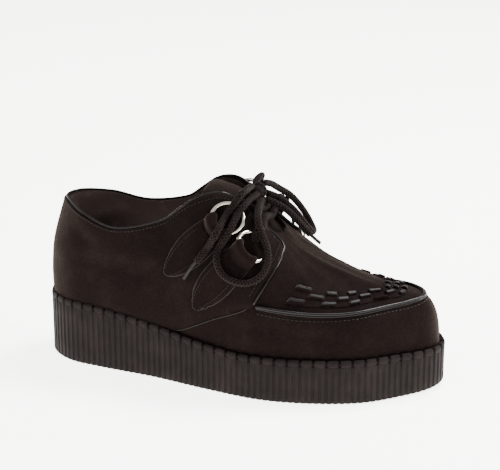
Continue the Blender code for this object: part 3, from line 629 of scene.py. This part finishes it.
def draped(name, columns, rows, where):
    """Grid primitive laid over the shoe: where gives the place of each share across and along."""
    deselect()
    bpy.ops.mesh.primitive_grid_add(x_subdivisions=columns, y_subdivisions=rows, size=2)
    piece = bpy.context.object
    piece.name = name
    piece.data.name = name
    flat = (corners_of(piece) + 1) / 2
    move_corners(piece, where(flat[:, 0], flat[:, 1]))
    return piece


def mend(piece, distance=JOIN):
    """Merge what meets and turn all faces outwards."""
    pick(piece)
    bpy.ops.object.mode_set(mode="EDIT")
    bpy.ops.mesh.select_all(action="SELECT")
    bpy.ops.mesh.remove_doubles(threshold=distance)
    bpy.ops.mesh.normals_make_consistent(inside=False)
    bpy.ops.object.mode_set(mode="OBJECT")


def modify(piece, kind, **settings):
    """Add a modifier and apply it."""
    pick(piece)
    made = piece.modifiers.new(kind.lower(), kind)
    for key, value in settings.items():
        setattr(made, key, value)
    bpy.ops.object.modifier_apply(modifier=made.name)


def smooth_shaded(piece, angle=None):
    pick(piece)
    if angle is None:
        bpy.ops.object.shade_smooth()
    else:
        bpy.ops.object.shade_smooth_by_angle(angle=math.radians(angle))
    return piece


def thick(name, columns, rows, where, low, high):
    """Closed sheet between two heights over the shoe, with rounded borders: where gives lap, rise
    and how far in from the border each point is."""
    grid_u, grid_v = np.meshgrid(np.linspace(0, 1, columns + 1), np.linspace(0, 1, rows + 1),
                                 indexing="ij")
    lap, rise, edge = where(grid_u, grid_v)
    top = face(lap, rise, low + (high(lap, rise) - low) * edge)
    under = face(lap, rise, np.full(lap.shape, low))
    return sheet_solid(name, top, under)


def sheet_solid(name, top, under):
    """Closed mesh between two matching grids of points."""
    rows, columns = top.shape[:2]
    points = np.concatenate([top.reshape(-1, 3), under.reshape(-1, 3)])
    back = rows * columns
    faces = []
    for a in range(0, back - columns, columns):
        b = a + columns
        for c in range(columns - 1):
            faces.append((a + c, a + c + 1, b + c + 1, b + c))
            faces.append((back + a + c, back + b + c, back + b + c + 1, back + a + c + 1))
        for c in (0, columns - 1):
            faces.append((a + c, b + c, back + b + c, back + a + c))
    for a in (0, back - columns):
        for c in range(columns - 1):
            faces.append((a + c, a + c + 1, back + a + c + 1, back + a + c))
    mesh = bpy.data.meshes.new(name)
    mesh.from_pydata([tuple(p) for p in points], [], faces)
    piece = linked(name, mesh)
    mend(piece)
    return smooth_shaded(piece, SHARP)


def tube(name, points, radius, sides=12):
    """Round cord along a line, closed at both ends, with a map of its way round and its length."""
    way = unit(np.gradient(points, axis=0))
    side = unit(np.cross(way[0], (0, 0, 1.0)))
    rings = []
    angle = np.linspace(0, 2 * math.pi, sides, endpoint=False)
    run = run_length(points)
    for k, point in enumerate(points):
        side = unit(side - way[k] * (side @ way[k]))
        other = np.cross(way[k], side)
        rings.append(point + radius * (np.cos(angle)[:, None] * side + np.sin(angle)[:, None] * other))
    rows = len(rings)
    dome = radius * 0.3
    verts = np.concatenate(rings + [points[:1] - way[:1] * dome, points[-1:] + way[-1:] * dome])
    faces = []
    for r in range(rows - 1):
        for c in range(sides):
            d = (c + 1) % sides
            faces.append((r * sides + c, r * sides + d, (r + 1) * sides + d, (r + 1) * sides + c))
    for c in range(sides):
        d = (c + 1) % sides
        faces.append((rows * sides, d, c))
        faces.append((rows * sides + 1, (rows - 1) * sides + c, (rows - 1) * sides + d))
    mesh = bpy.data.meshes.new(name)
    mesh.from_pydata([tuple(p) for p in verts], [], faces)
    layer = mesh.uv_layers.new(name="UVMap")
    for poly in mesh.polygons:
        corners = [mesh.loops[i].vertex_index for i in poly.loop_indices]
        columns = [c % sides if c < rows * sides else 0 for c in corners]
        wrap = max(columns) == sides - 1 and min(columns) == 0
        for i, corner, column in zip(poly.loop_indices, corners, columns):
            if corner < rows * sides:
                across = 1.0 if wrap and column == 0 else column / sides
                layer.data[i].uv = (across, run[corner // sides])
            else:
                layer.data[i].uv = (0.5, run[0] if corner == rows * sides else run[-1])
    recalc = bmesh.new()
    recalc.from_mesh(mesh)
    bmesh.ops.recalc_face_normals(recalc, faces=recalc.faces)
    recalc.to_mesh(mesh)
    recalc.free()
    return smooth_shaded(linked(name, mesh))


def stitches(name, line, normal, stitch, finish):
    """Row of sewn stitches along a line of points, one small capsule for each."""
    long, pitch, radius = stitch
    run = run_length(line)
    count = max(2, int(run[-1] / pitch))
    middles = (np.arange(count) + 0.5) * run[-1] / count
    spots = at_runs(line, run, middles)
    ups = unit(at_runs(normal, run, middles))
    ways = unit(at_runs(line, run, middles + pitch / 4) - at_runs(line, run, middles - pitch / 4))
    shape = bmesh.new()
    for spot, up, way in zip(spots, ups, ways):
        side = np.cross(up, way)
        rings = []
        for share, width in ((-1.0, 0.25), (-0.75, 0.8), (0.0, 1.0), (0.75, 0.8), (1.0, 0.25)):
            sink = -0.55 * radius * share ** 4
            ring = []
            for k in range(6):
                a = k * math.pi / 3
                ring.append(shape.verts.new(spot + way * share * long / 2 + up * sink
                                            + (side * math.cos(a) + up * math.sin(a)) * radius * width))
            rings.append(ring)
        for first, second in zip(rings, rings[1:]):
            for k in range(6):
                shape.faces.new((first[k], first[(k + 1) % 6], second[(k + 1) % 6], second[k]))
        shape.faces.new(rings[0][::-1])
        shape.faces.new(rings[-1])
    bmesh.ops.recalc_face_normals(shape, faces=shape.faces)
    mesh = bpy.data.meshes.new(name)
    shape.to_mesh(mesh)
    shape.free()
    settle(smooth_shaded(linked(name, mesh)), finish, None)


class Wire:
    """A shader socket that works in plain sums and adds the nodes that they need."""

    def __init__(self, tree, socket):
        self.tree = tree
        self.socket = socket

    def node(self, kind, sockets=(), output=0, **settings):
        made = self.tree.nodes.new(kind)
        for key, value in settings.items():
            setattr(made, key, value)
        for key, value in dict(sockets).items():
            if isinstance(value, Wire):
                self.tree.links.new(value.socket, made.inputs[key])
            else:
                made.inputs[key].default_value = value
        return Wire(self.tree, made.outputs[output])

    def sum(self, operation, first, second):
        return self.node("ShaderNodeMath", {0: first, 1: second}, operation=operation)

    def __add__(self, other):
        return self.sum("ADD", self, other)

    def __radd__(self, other):
        return self.sum("ADD", other, self)

    def __sub__(self, other):
        return self.sum("SUBTRACT", self, other)

    def __rsub__(self, other):
        return self.sum("SUBTRACT", other, self)

    def __mul__(self, other):
        return self.sum("MULTIPLY", self, other)

    def noise(self, scale, detail=3.0, roughness=0.55):
        return self.node("ShaderNodeTexNoise", {"Vector": self, "Scale": scale, "Detail": detail,
                                                "Roughness": roughness})

    def band(self, low, high):
        """0 below low, 1 above high, smooth between."""
        return self.node("ShaderNodeMapRange", {"Value": self, "From Min": low, "From Max": high},
                         interpolation_type="SMOOTHSTEP")

    def mixed(self, first, second):
        """Colour between two, by this share."""
        return self.node("ShaderNodeMix", {0: self, 6: (*first, 1), 7: (*second, 1)}, output=2,
                         data_type="RGBA")

    def split(self):
        made = self.tree.nodes.new("ShaderNodeSeparateXYZ")
        self.tree.links.new(self.socket, made.inputs[0])
        return [Wire(self.tree, output) for output in made.outputs]


class Finish:
    """A material, its shader and the coordinates that its pattern reads."""

    def __init__(self, name, coordinates="Object", **constant):
        self.material = bpy.data.materials.new(name)
        self.material.use_nodes = True
        self.tree = self.material.node_tree
        self.shader = self.tree.nodes["Principled BSDF"]
        source = self.tree.nodes.new("ShaderNodeTexCoord")
        self.where = Wire(self.tree, source.outputs[coordinates])
        for key, value in constant.items():
            self.shader.inputs[key.replace("_", " ")].default_value = value

    def feed(self, socket, wire):
        self.tree.links.new(wire.socket, self.shader.inputs[socket])

    def bump(self, height, distance, strength):
        self.feed("Normal", height.node("ShaderNodeBump", {"Height": height, "Distance": distance,
                                                           "Strength": strength}))


def suede_finish():
    """Short nap: fine fuzz, soft brushed patches and a warm sheen at grazing angles."""
    made = Finish("black suede", Sheen_Weight=0.14, Sheen_Roughness=0.35,
                  Sheen_Tint=(0.62, 0.47, 0.40, 1), Specular_IOR_Level=0.03)
    fuzz = made.where.noise(2600, 2.0, 0.7)
    tufts = made.where.noise(620, 3.0, 0.6)
    patches = made.where.noise(1 / 0.018, 4.0, 0.6)
    tone = fuzz.band(0.35, 0.75) * 0.45 + tufts.band(0.3, 0.8) * 0.30 + patches.band(0.42, 0.72) * 0.22
    made.feed("Base Color", tone.mixed((0.0026, 0.0016, 0.0014), (0.0100, 0.0062, 0.0054)))
    made.feed("Roughness", 0.98 - patches.band(0.4, 0.8) * 0.12)
    made.bump(fuzz * 0.7 + tufts * 0.5, 0.00035, 0.8)
    return made.material


def leather_finish(name, colour, worn, roughness, coat, shine=0.12):
    """Smooth leather with fine creased grain and a light coat."""
    made = Finish(name, Coat_Roughness=0.16, Specular_IOR_Level=shine)
    grain = made.where.node("ShaderNodeTexVoronoi", {"Vector": made.where, "Scale": 1500.0},
                            feature="DISTANCE_TO_EDGE")
    rubbed = made.where.noise(160, 3.0)
    made.feed("Base Color", (rubbed.band(0.45, 0.8) * 0.6).mixed(colour, worn))
    made.feed("Roughness", rubbed * 0.22 + (roughness - 0.1))
    made.feed("Coat Weight", coat - rubbed.band(0.4, 0.9) * coat * 0.5)
    made.bump(grain.band(0.0, 0.18), 0.00006, 0.6)
    return made.material


def rubber_finish():
    """Matt moulded rubber, warm charcoal, with lighter dusty patches and specks."""
    made = Finish("ribbed rubber", Specular_IOR_Level=0.10)
    fine = made.where.noise(1800, 3.0, 0.65)
    cloud = made.where.noise(70, 4.0, 0.6)
    specks = made.where.noise(420, 2.0).band(0.62, 0.78)
    tone = cloud.band(0.35, 0.75) * 0.55 + fine * 0.25 + specks * 0.2
    made.feed("Base Color", tone.mixed((0.0031, 0.0017, 0.0014), (0.0086, 0.0049, 0.0042)))
    made.feed("Roughness", 0.66 + fine * 0.16 - cloud.band(0.4, 0.8) * 0.08)
    made.bump(fine * 0.8 + specks * 0.6, 0.00022, 0.7)
    return made.material


def strip_finish():
    """Narrow strips, smoother and a little shinier on their crowns than the nap round them."""
    made = Finish("woven strips", Specular_IOR_Level=0.12, Coat_Roughness=0.4)
    grain = made.where.noise(1900, 3.0, 0.65)
    cloud = made.where.noise(90, 3.0)
    tone = grain * 0.5 + cloud.band(0.4, 0.7) * 0.4
    made.feed("Base Color", tone.mixed((0.0016, 0.0011, 0.0010), (0.006, 0.0043, 0.0038)))
    made.feed("Roughness", 0.40 + grain * 0.22)
    made.bump(grain, 0.00012, 0.6)
    return made.material


def lace_finish():
    """Round braid: two sets of plaits that cross on the slant, read from the cord's own map, with painted
    shade darkening the grooves between the plaits.
    """
    made = Finish("braided lace", "UV", Sheen_Weight=0.05, Sheen_Roughness=0.4,
                  Sheen_Tint=(0.6, 0.5, 0.45, 1), Specular_IOR_Level=0.05)
    across, along, _ = made.where.split()
    turns = across * (2 * math.pi * BRAID_TURNS)
    run = along * (2 * math.pi / BRAID_PITCH)
    plait = across.node("ShaderNodeMath", {0: turns + run}, operation="SINE")
    other = across.node("ShaderNodeMath", {0: turns - run}, operation="SINE")
    ridge = plait.sum("MAXIMUM", plait, other)
    # Colour by the braid's height: painted shade in the grooves between the plaits, lighter on their
    # crowns
    tone = ridge.band(0.1, 1.0)
    made.feed("Base Color", tone.mixed((0.0010, 0.0006, 0.0005), (0.0085, 0.0049, 0.0043)))
    made.feed("Roughness", 0.9 - tone * 0.12)
    made.bump(ridge, 0.00050, 1.0)
    return made.material


def metal_finish():
    """Polished plated wire with faint scuffs."""
    made = Finish("plated ring", Metallic=1.0)
    scuff = made.where.noise(900, 4.0, 0.7)
    made.feed("Base Color", scuff.band(0.3, 0.8).mixed((0.60, 0.55, 0.47), (0.70, 0.645, 0.56)))
    made.feed("Roughness", 0.14 + scuff.band(0.5, 0.8) * 0.14)
    made.bump(scuff, 0.00003, 0.4)
    return made.material


def floor_finish():
    made = Finish("pale floor", Roughness=0.75, Specular_IOR_Level=0.1, Emission_Strength=5.0,
                  Emission_Color=(1.0, 0.985, 0.955, 1))
    cloud = made.where.noise(3, 2.0)
    made.feed("Base Color", cloud.mixed((0.90, 0.89, 0.865), (0.92, 0.91, 0.885)))
    return made.material


def set_stage():
    """Camera, floor and studio light."""
    data = bpy.data.cameras.new("camera")
    data.sensor_width = SENSOR
    data.lens = FOCAL_PIXELS * SENSOR / FRAME_WIDTH
    data.clip_start = 0.05
    data.clip_end = 60
    camera = linked("camera", data)
    camera.location = CAMERA_PLACE
    back = -unit(np.array(CAMERA_AIM))
    right = np.array([math.cos(CAMERA_TURN), math.sin(CAMERA_TURN), 0.0])
    up = np.cross(back, right)
    aim = (right * (FRAME_WIDTH / 2 - MIDDLE_SEEN[0]) - up * (FRAME_HEIGHT / 2 - MIDDLE_SEEN[1]))
    aim = aim / FOCAL_PIXELS - back
    camera.rotation_mode = "QUATERNION"
    camera.rotation_quaternion = Vector(aim).to_track_quat("-Z", "Y")
    bpy.context.scene.camera = camera

    deselect()
    bpy.ops.mesh.primitive_plane_add(size=FLOOR_SIZE, location=(0, 0, 0))
    floor = bpy.context.object
    floor.name = "floor"
    floor.data.materials.append(floor_finish())

    world = bpy.data.worlds.new("studio")
    world.use_nodes = True
    sky = world.node_tree.nodes["Background"]
    sky.inputs["Color"].default_value = (1.0, 0.985, 0.965, 1)
    sky.inputs["Strength"].default_value = 0.9
    bpy.context.scene.world = world
    for name, place, size, power in LAMPS:
        light = bpy.data.lights.new(name, "AREA")
        light.size = size
        light.energy = power
        lamp = linked(name, light)
        lamp.location = place
        lamp.rotation_euler = (Vector(LIT_SPOT) - Vector(place)).to_track_quat("-Z", "Y").to_euler()


def build_cords(lace, tip):
    """The free bow: loops and ends that leave the knot, with their tips."""
    knot = build_knot(lace)
    for name, route in LACE_ROUTES.items():
        points = follow(route, CORD_STEP) + np.array(PLACE)
        piece = tube(name, points, LACE / 2, LACE_SIDES)
        settle(piece, lace, name)
        if "end" in name:
            aglet_name = name.replace("lace_end", "aglet")
            tip_points = follow(AGLET_ROUTES[aglet_name], 0.001) + np.array(PLACE)
            lapped = points[-1:] - unit(points[-1:] - points[-2:-1]) * AGLET_LAP
            tip_points = np.concatenate([lapped, tip_points])
            cap_piece = tube(aglet_name, tip_points, AGLET / 2, 12)
            settle(cap_piece, tip, aglet_name)


def build_knot(lace):
    """Tight half-hitch: a rounded core with the lace wrapped over it."""
    centre = np.array(KNOT_PLACE) + np.array(PLACE)
    deselect()
    bpy.ops.mesh.primitive_uv_sphere_add(segments=32, ring_count=20, radius=1)
    piece = bpy.context.object
    piece.name = "lace_knot"
    spots = corners_of(piece)
    waist = 1 - KNOT_WAIST * np.exp(-(spots[:, 1] / KNOT_WAIST) ** 2)
    spots = spots * np.array(KNOT) * KNOT_CORE
    spots[:, 0] *= waist
    spots[:, 2] *= waist
    move_corners(piece, spots + centre)
    smooth_shaded(piece)
    angle = np.linspace(-0.35 * math.pi, 1.35 * math.pi, 60)
    wrap = np.stack([np.cos(angle) * KNOT[0] * WRAP_REACH, np.sin(angle * 0.5) * 0.0016,
                     np.sin(angle) * KNOT[2] * WRAP_REACH], -1) + centre
    pick(tube("wrap", wrap, LACE / 2 * 0.9, LACE_SIDES), piece)
    bpy.ops.object.join()
    return settle(piece, lace, "lace_knot")


def build_crossings(lace):
    """Lace from ring to ring over the tongue: up through each ring and over its wire."""
    strands = []
    for k, (near_ring, near_turn, middle, far_turn, far_ring) in enumerate(CROSSINGS):
        route = []
        for ring_name, turn, side in ((near_ring, near_turn, -1), (far_ring, far_turn, 1)):
            _, _, centre, axis = ring_seat(RINGS[ring_name], side)
            out = unit(over_facing(turn, side) - centre)
            out = unit(out - (out @ axis) * axis)
            half = [centre + out * (RING_RADIUS - 2.6 * RING_WIRE) - axis * 0.0030,
                    centre + out * (RING_RADIUS - 1.5 * RING_WIRE) + axis * 0.0016,
                    centre + out * RING_RADIUS + axis * (RING_WIRE + LACE / 2 + 2 * SKIM),
                    at_ring(RINGS[ring_name], side, turn) + axis * 0.0006,
                    over_facing(turn, side)]
            route.append(half)
        points = route[0] + [np.array(middle)] + route[1][::-1]
        points = follow(points, CORD_STEP) + np.array(PLACE)
        strands.append(tube(f"strand_{k}", points, LACE / 2, LACE_SIDES))
    whole = pick(*strands[::-1])
    bpy.ops.object.join()
    settle(whole, lace, "lace_crossings")


def build_upper(suede, lining):
    """The one wall of the upper, suede outside and lining inside."""
    piece = draped("upper", *UPPER_GRID, lambda u, v: face(u * 2, v * 2))
    mend(piece, 5e-6)
    piece.data.materials.append(suede)
    piece.data.materials.append(lining)
    modify(piece, "SOLIDIFY", thickness=WALL, offset=-1.0, material_offset=1, material_offset_rim=0)
    smooth_shaded(piece, SHARP)
    settle(piece, [], "upper")


def front_of(rise):
    return smooth(QUARTER_EDGE, "turn", rise)


def build_quarters(suede, thread):
    """Overlays that carry the facings, thin at the lower front seam, with their stitch rows."""
    for side_name, side in (("outer", -1), ("inner", 1)):
        def where(u, v, side=side):
            rise = QUARTER_FOOT + (2 - QUARTER_FOOT) * v
            turn = QUARTER_BACK + (front_of(rise) - QUARTER_BACK) * u
            near_front = np.clip((1 - u) / 0.006, 0, 1)
            near_back = np.clip(u / 0.002, 0, 1)
            near_top = np.clip((1 - v) / 0.010, 0, 1)
            edge = np.minimum(np.minimum(near_front, near_top), near_back)
            edge = QUARTER_RIM + (1 - QUARTER_RIM) * np.sqrt(np.clip(1 - (1 - edge) ** 2, 0, 1))
            return on_side(turn, side), rise, edge

        def high(lap, rise):
            turn, _ = fold(lap)
            near_front = np.exp(-((front_of(rise) - turn) / 0.03) ** 2)
            return OVERLAY_GAP + QUARTER - SEAM_THIN * near_front * np.clip((1.02 - rise) / 0.12, 0, 1)

        name = f"quarter_{side_name}"
        piece = thick(name, *QUARTER_GRID, where, 2 * SKIM, high)
        settle(piece, suede, name)

        rise = np.linspace(0.06, 0.93, 80)
        lap = on_side(front_of(rise) - 0.0012, side)
        edge = tube(f"seam_edge_{side_name}", face(lap, rise, 0.0012), EDGE_LINE, 8)
        settle(edge, thread, None)
        rise = np.concatenate([np.linspace(1.10, 1.86, 60), np.full(90, TOPLINE_RISE)])
        turn = np.concatenate([front_of(rise[:60]) - TOPLINE_IN, np.linspace(0.640, 0.02, 90)])
        lap = on_side(turn, side)
        line = face(lap, rise, OVERLAY_GAP + QUARTER + SKIM)
        stitches(f"topline_stitches_{side_name}", line, square(lap, rise), TOPLINE_STITCH, thread)


def build_pipings(glossy, thread):
    """Rolled leather round the topline, and the thick double bead of the apron seam."""
    lift = COLLAR_PIPING + OVERLAY_GAP + FIT
    seam_turn = front_of(1.0)
    clear = (APRON_PIPING + COLLAR_PIPING + FIT) / np.linalg.norm(tangents(seam_turn, 1.0)[1])
    front = np.linspace(1 + clear * 0.4, QUARTER_EDGE["rise"][-2], FRONT_POINTS)
    top = np.linspace(PIPING_CORNER, 0, TOPLINE_POINTS)
    turns = np.concatenate([front_of(front), top])
    rises = np.concatenate([front, np.full(TOPLINE_POINTS, 2.0)])
    out = np.concatenate([np.ones(FRONT_POINTS - 1), [PIPING_DROP], np.zeros(TOPLINE_POINTS)]) * lift
    laps = np.concatenate([turns, 2 - turns[-2::-1]])
    rises = np.concatenate([rises, rises[-2::-1]])
    out = np.concatenate([out, out[-2::-1]])
    border = face(laps, rises)
    normal = square(laps, rises)
    beside = unit(np.cross(unit(np.gradient(border, axis=0)), normal))
    points = follow(border + beside * 0.0006 + normal * (out[:, None] * 0.6 + 0.0006), BEAD_STEP)
    settle(tube("collar_piping", points, COLLAR_BEAD, 14), glossy, "collar_piping")

    start = seam_turn + 2 * APRON_PIPING / np.linalg.norm(tangents(seam_turn, 1.0)[0])
    laps = np.linspace(start, 2 - start, SEAM_POINTS)
    bead = follow(face(laps, 1.0, APRON_BEAD + 2 * SKIM)[::2], BEAD_STEP)
    settle(tube("apron_piping", bead, APRON_BEAD, 16), glossy, "apron_piping")
    pace = np.linalg.norm(tangents(laps, np.ones(SEAM_POINTS))[1], axis=-1)
    low_bead = follow(face(laps, 1.0 - 1.2 * APRON_PIPING / pace, WELT_BEAD)[::2], BEAD_STEP)
    settle(tube("apron_welt", low_bead, WELT_BEAD, 12), glossy, None)
    row = 1.0 - (1.9 * APRON_PIPING + 0.0036) / pace
    stitches("apron_stitches", face(laps, row, SKIM), square(laps, row), APRON_STITCH, thread)


def build_band(strips):
    """Strips of suede woven over and under each other inside the apron seam."""
    grid_u, grid_v = np.meshgrid(np.linspace(0, 1, BAND_CELLS * 10 + 1),
                                 np.linspace(0, 1, BAND_STRIPS * 10 + 1), indexing="ij")
    rear = BAND_REAR + BAND_SLANT * grid_v
    first, middle, final = edge_share(rear), edge_share(1.0), edge_share(2 - rear)
    lap = edge_laps(np.where(grid_u <= 0.5, first + (middle - first) * grid_u * 2,
                             middle + (final - middle) * (grid_u * 2 - 1)))
    turn, _ = fold(lap)
    rise = BAND_OUTER_RISE + (smooth(BAND_INNER, "rise", turn) - BAND_OUTER_RISE) * grid_v
    cell_u = grid_u * BAND_CELLS
    cell_v = grid_v * BAND_STRIPS
    column = np.clip(np.floor(cell_v), 0, BAND_STRIPS - 1)
    cell = np.clip(np.floor(cell_u), 0, BAND_CELLS - 1)
    over = (column + cell) % 2 == 0
    in_u = np.abs(np.sin(math.pi * cell_u))
    in_v = np.abs(np.sin(math.pi * cell_v))
    raised = np.clip((in_v - 0.40) / 0.35, 0, 1) ** 0.5 * np.clip(in_u * 3.2, 0, 1) ** 0.5
    sunk = np.clip((in_u - 0.3) / 0.6, 0, 1) ** 0.5
    top = face(lap, rise, np.where(over, STRIP_FOOT + STRIP_CROWN * raised, GAP_FOOT + GAP_CROWN * sunk))
    piece = sheet_solid("woven_band", top, face(lap, rise, SKIM))
    settle(piece, strips, "woven_band")
    raised_spots = top[over & (raised > 0.02)]
    spots = KDTree(len(raised_spots))
    for k, spot in enumerate(raised_spots):
        spots.insert(Vector(spot), k)
    spots.balance()
    for poly in piece.data.polygons:
        poly.material_index = 0 if spots.find(poly.center)[2] < ON_STRIP else 1


def leaf_grid(place, side):
    """Inner and outer faces and normals of a leaf-shaped tab, from inside the ring to the tip."""
    columns, rows = LEAF_GRID
    across = np.linspace(-1, 1, columns + 1)
    lap, rise, centre, axis = ring_seat(place, side)
    tip = last(on_side(place["tip_turn"], side), place["tip_rise"])
    way = unit(tip - last(lap, rise))
    low = OVERLAY_GAP + QUARTER + 2 * SKIM
    keys = np.arange(len(LEAF_ROWS), dtype=float)
    at = np.linspace(0, keys[-1], rows + 1)
    table = dict(zip(LEAF_COLUMNS, zip(*LEAF_ROWS)))
    table = {"row": tuple(keys), **table}
    wires, reach, half, rounding, over = (smooth(table, c, at)[:, None] for c in LEAF_COLUMNS)
    wide = smooth(LEAF_END, "half", at) * (at < LEAF_END["row"][-1])
    half = np.maximum(half, wide[:, None])
    run = RING_RADIUS + wires * RING_WIRE + reach * (LEAF_LENGTH - RING_RADIUS)
    aside = across * half * LEAF_WIDTH
    back = (run - np.sqrt(np.maximum(run ** 2 - aside ** 2, 0))) * rounding
    axis_lap, axis_rise, faced = walk(lap, rise, way, run - back)
    aside_way = np.cross(faced, square(axis_lap, axis_rise))
    leaf_lap, leaf_rise, _ = walk(axis_lap, axis_rise, aside_way, aside)
    normal = square(leaf_lap, leaf_rise)
    rounding = rounding[..., None]
    under = last(leaf_lap, leaf_rise)
    way_out = unit(axis * rounding + normal * (1 - rounding))
    level = low / dot(way_out, normal)
    top = (RING_WIRE + FIT - (under - centre) @ axis) / (way_out @ axis)
    inner = under + way_out * (level + (top - level) * over)[..., None] + np.array(PLACE)
    edge = np.minimum((1 - np.abs(across)) / LEAF_ROUND, 1.0)
    edge = np.sqrt(1 - (1 - edge) ** 2)
    normals = grid_normals(inner)
    lip = LIP * np.exp(-((np.abs(across) - 0.82) / 0.09) ** 2)
    height = TAB * (LEAF_RIM + (1 - LEAF_RIM) * edge) + lip
    return inner, inner + normals * height[:, None], normals


def skirt(grid):
    """Points down a grid's first column, along its last row and back up its last column."""
    return np.concatenate([grid[:-1, 0], grid[-1], grid[-2::-1, -1]])


def build_tabs(suede, thread, metal):
    """Rings and the leaf-shaped tabs that hold them, each with its stitch line."""
    for side_name, side in (("outer", -1), ("inner", 1)):
        for level_name, place in RINGS.items():
            _, _, centre, axis = ring_seat(place, side)
            deselect()
            turned = Vector(axis).to_track_quat("Z", "Y").to_euler()
            bpy.ops.mesh.primitive_torus_add(location=Vector(centre) + Vector(PLACE), rotation=turned,
                                             major_radius=RING_RADIUS, minor_radius=RING_WIRE,
                                             major_segments=72, minor_segments=20)
            ring_piece = bpy.context.object
            bpy.ops.object.transform_apply(location=True, rotation=True, scale=True)
            smooth_shaded(ring_piece)
            settle(ring_piece, metal, f"ring_{side_name}_{level_name}")
            inner, outer, normals = leaf_grid(place, side)
            name = f"tab_{side_name}_{level_name}"
            settle(sheet_solid(name, outer, inner), suede, name)
            line, ups = (skirt(grid[STITCH_ROW:-2, STITCH_COLUMN:-STITCH_COLUMN])
                         for grid in (outer + normals * SKIM, normals))
            stitches(f"tab_stitches_{side_name}_{level_name}", line, ups, TAB_STITCH, thread)
            cut = tube(f"tab_edge_{side_name}_{level_name}", follow(skirt(outer[EDGE_ROW:]), 0.0020),
                       EDGE_LINE, 8)
            settle(cut, thread, None)


def copied(node, name, level):
    """Copy of a CAD node with its triangles joined and its corners softened."""
    piece = linked(name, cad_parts[node].data.copy())
    piece.data.materials.clear()
    pick(piece)
    bpy.ops.object.mode_set(mode="EDIT")
    bpy.ops.mesh.select_all(action="SELECT")
    bpy.ops.mesh.remove_doubles(threshold=1e-5)
    bpy.ops.mesh.tris_convert_to_quads(face_threshold=math.radians(60), shape_threshold=math.radians(120))
    bpy.ops.object.mode_set(mode="OBJECT")
    if level:
        modify(piece, "SUBSURF", levels=level, render_levels=level)
    return smooth_shaded(piece)


def build_sole(rubber):
    """Wedge with flat-topped ribs round its side, notches through its rim and a raised block
    between each two notches on the ledge."""
    ribs = round(EDGE_RUN[-1] / RIB_PITCH)
    columns = ribs * RIB_COLUMNS
    share = np.arange(columns + 1) / columns
    laps = edge_laps(share)
    phase = (share * ribs) % 1.0
    to_notch = np.minimum(phase, 1 - phase) * RIB_PITCH
    cut = 1 - np.clip((to_notch - CUT_FLOOR) / CUT_SLOPE, 0, 1)
    notch = NOTCH_DEPTH * cut
    groove = 1 - np.clip((np.abs(phase - 0.5) * RIB_PITCH - CUT_FLOOR) / CUT_SLOPE, 0, 1)
    side_depth = SIDE_NOTCH * cut + SIDE_GROOVE * groove
    block = np.clip((to_notch - CUT_SLOPE) / CUT_SLOPE, 0, 1)
    edge_x = outline(laps)[:, 0]
    low = sole_bottom(edge_x)
    top = sole_top(edge_x)
    zero = np.zeros(columns + 1)
    rows = [(TREAD_INSET + zero + 0.004, low), (TREAD_INSET + zero, low),
            (TREAD_ROUND + side_depth, low + SKIM),
            (TREAD_ROUND * 0.4 + side_depth, low + TREAD_ROUND * 0.4), (side_depth, low + TREAD_ROUND)]
    for f in (0.25, 0.5, 0.75, 1.0):
        rows.append((side_depth, low + TREAD_ROUND + (top - RIM_BAND - 0.0005 - low - TREAD_ROUND) * f))
    rows += [(notch + 0.0002, top - RIM_BAND), (notch - 0.0002 * block, top - RIM_BAND + 0.0004),
             (notch - 0.0002 * block, top - 0.0011),
             (notch + 0.0003, top - 0.0004 + 0.0007 * block - notch * 0.6),
             (notch + 0.0009, top + BLOCK_UP * block - notch * 0.6),
             (LEDGE - 0.0012 + zero, top + 0.0006 * block - notch * 0.4),
             (LEDGE - 0.0003 + zero, top - 0.0003),
             (LEDGE + 0.002 + zero, top - 0.0004)]
    rings = [np.column_stack([inset(laps, depth), height]) for depth, height in rows]
    middle = (outline(laps) + outline(2 - laps)) / 2
    rings.insert(0, np.column_stack([middle, low]))
    rings.append(np.column_stack([middle, top - 0.0004]))
    grid = np.array(rings) + np.array(PLACE)

    def where(u, v):
        return grid[np.round(v * (len(rings) - 1)).astype(int), np.round(u * columns).astype(int)]

    piece = draped("sole", columns, len(rings) - 1, where)
    mend(piece)
    settle(smooth_shaded(piece, SOLE_SHARP), rubber, "sole")


set_stage()
LACE_CLOTH = lace_finish()
LACE_TIP = leather_finish("lace tip", (0.006, 0.0045, 0.0040), (0.012, 0.009, 0.008), 0.50, 0.0)
build_cords(LACE_CLOTH, LACE_TIP)
build_crossings(LACE_CLOTH)
SUEDE = suede_finish()
LINING = leather_finish("lining", (0.045, 0.0305, 0.0270), (0.070, 0.050, 0.044), 0.75, 0.0)
FOOTBED = leather_finish("footbed", (0.010, 0.008, 0.007), (0.018, 0.014, 0.012), 0.6, 0.1)
GLOSSY = leather_finish("piping leather", (0.0022, 0.0015, 0.0013), (0.005, 0.0035, 0.0031), 0.40, 0.24,
                        0.05)
THREAD = leather_finish("sewing thread", (0.006, 0.0045, 0.004), (0.018, 0.014, 0.012), 0.5, 0.15)
build_sole(rubber_finish())
build_upper(SUEDE, LINING)
build_quarters(SUEDE, THREAD)
build_pipings(GLOSSY, THREAD)
build_band([strip_finish(), SUEDE])
build_tabs(SUEDE, THREAD, metal_finish())
settle(copied("tongue", "tongue_padded", 2), SUEDE, "tongue")
settle(copied("insole", "footbed", 0), FOOTBED, "insole")
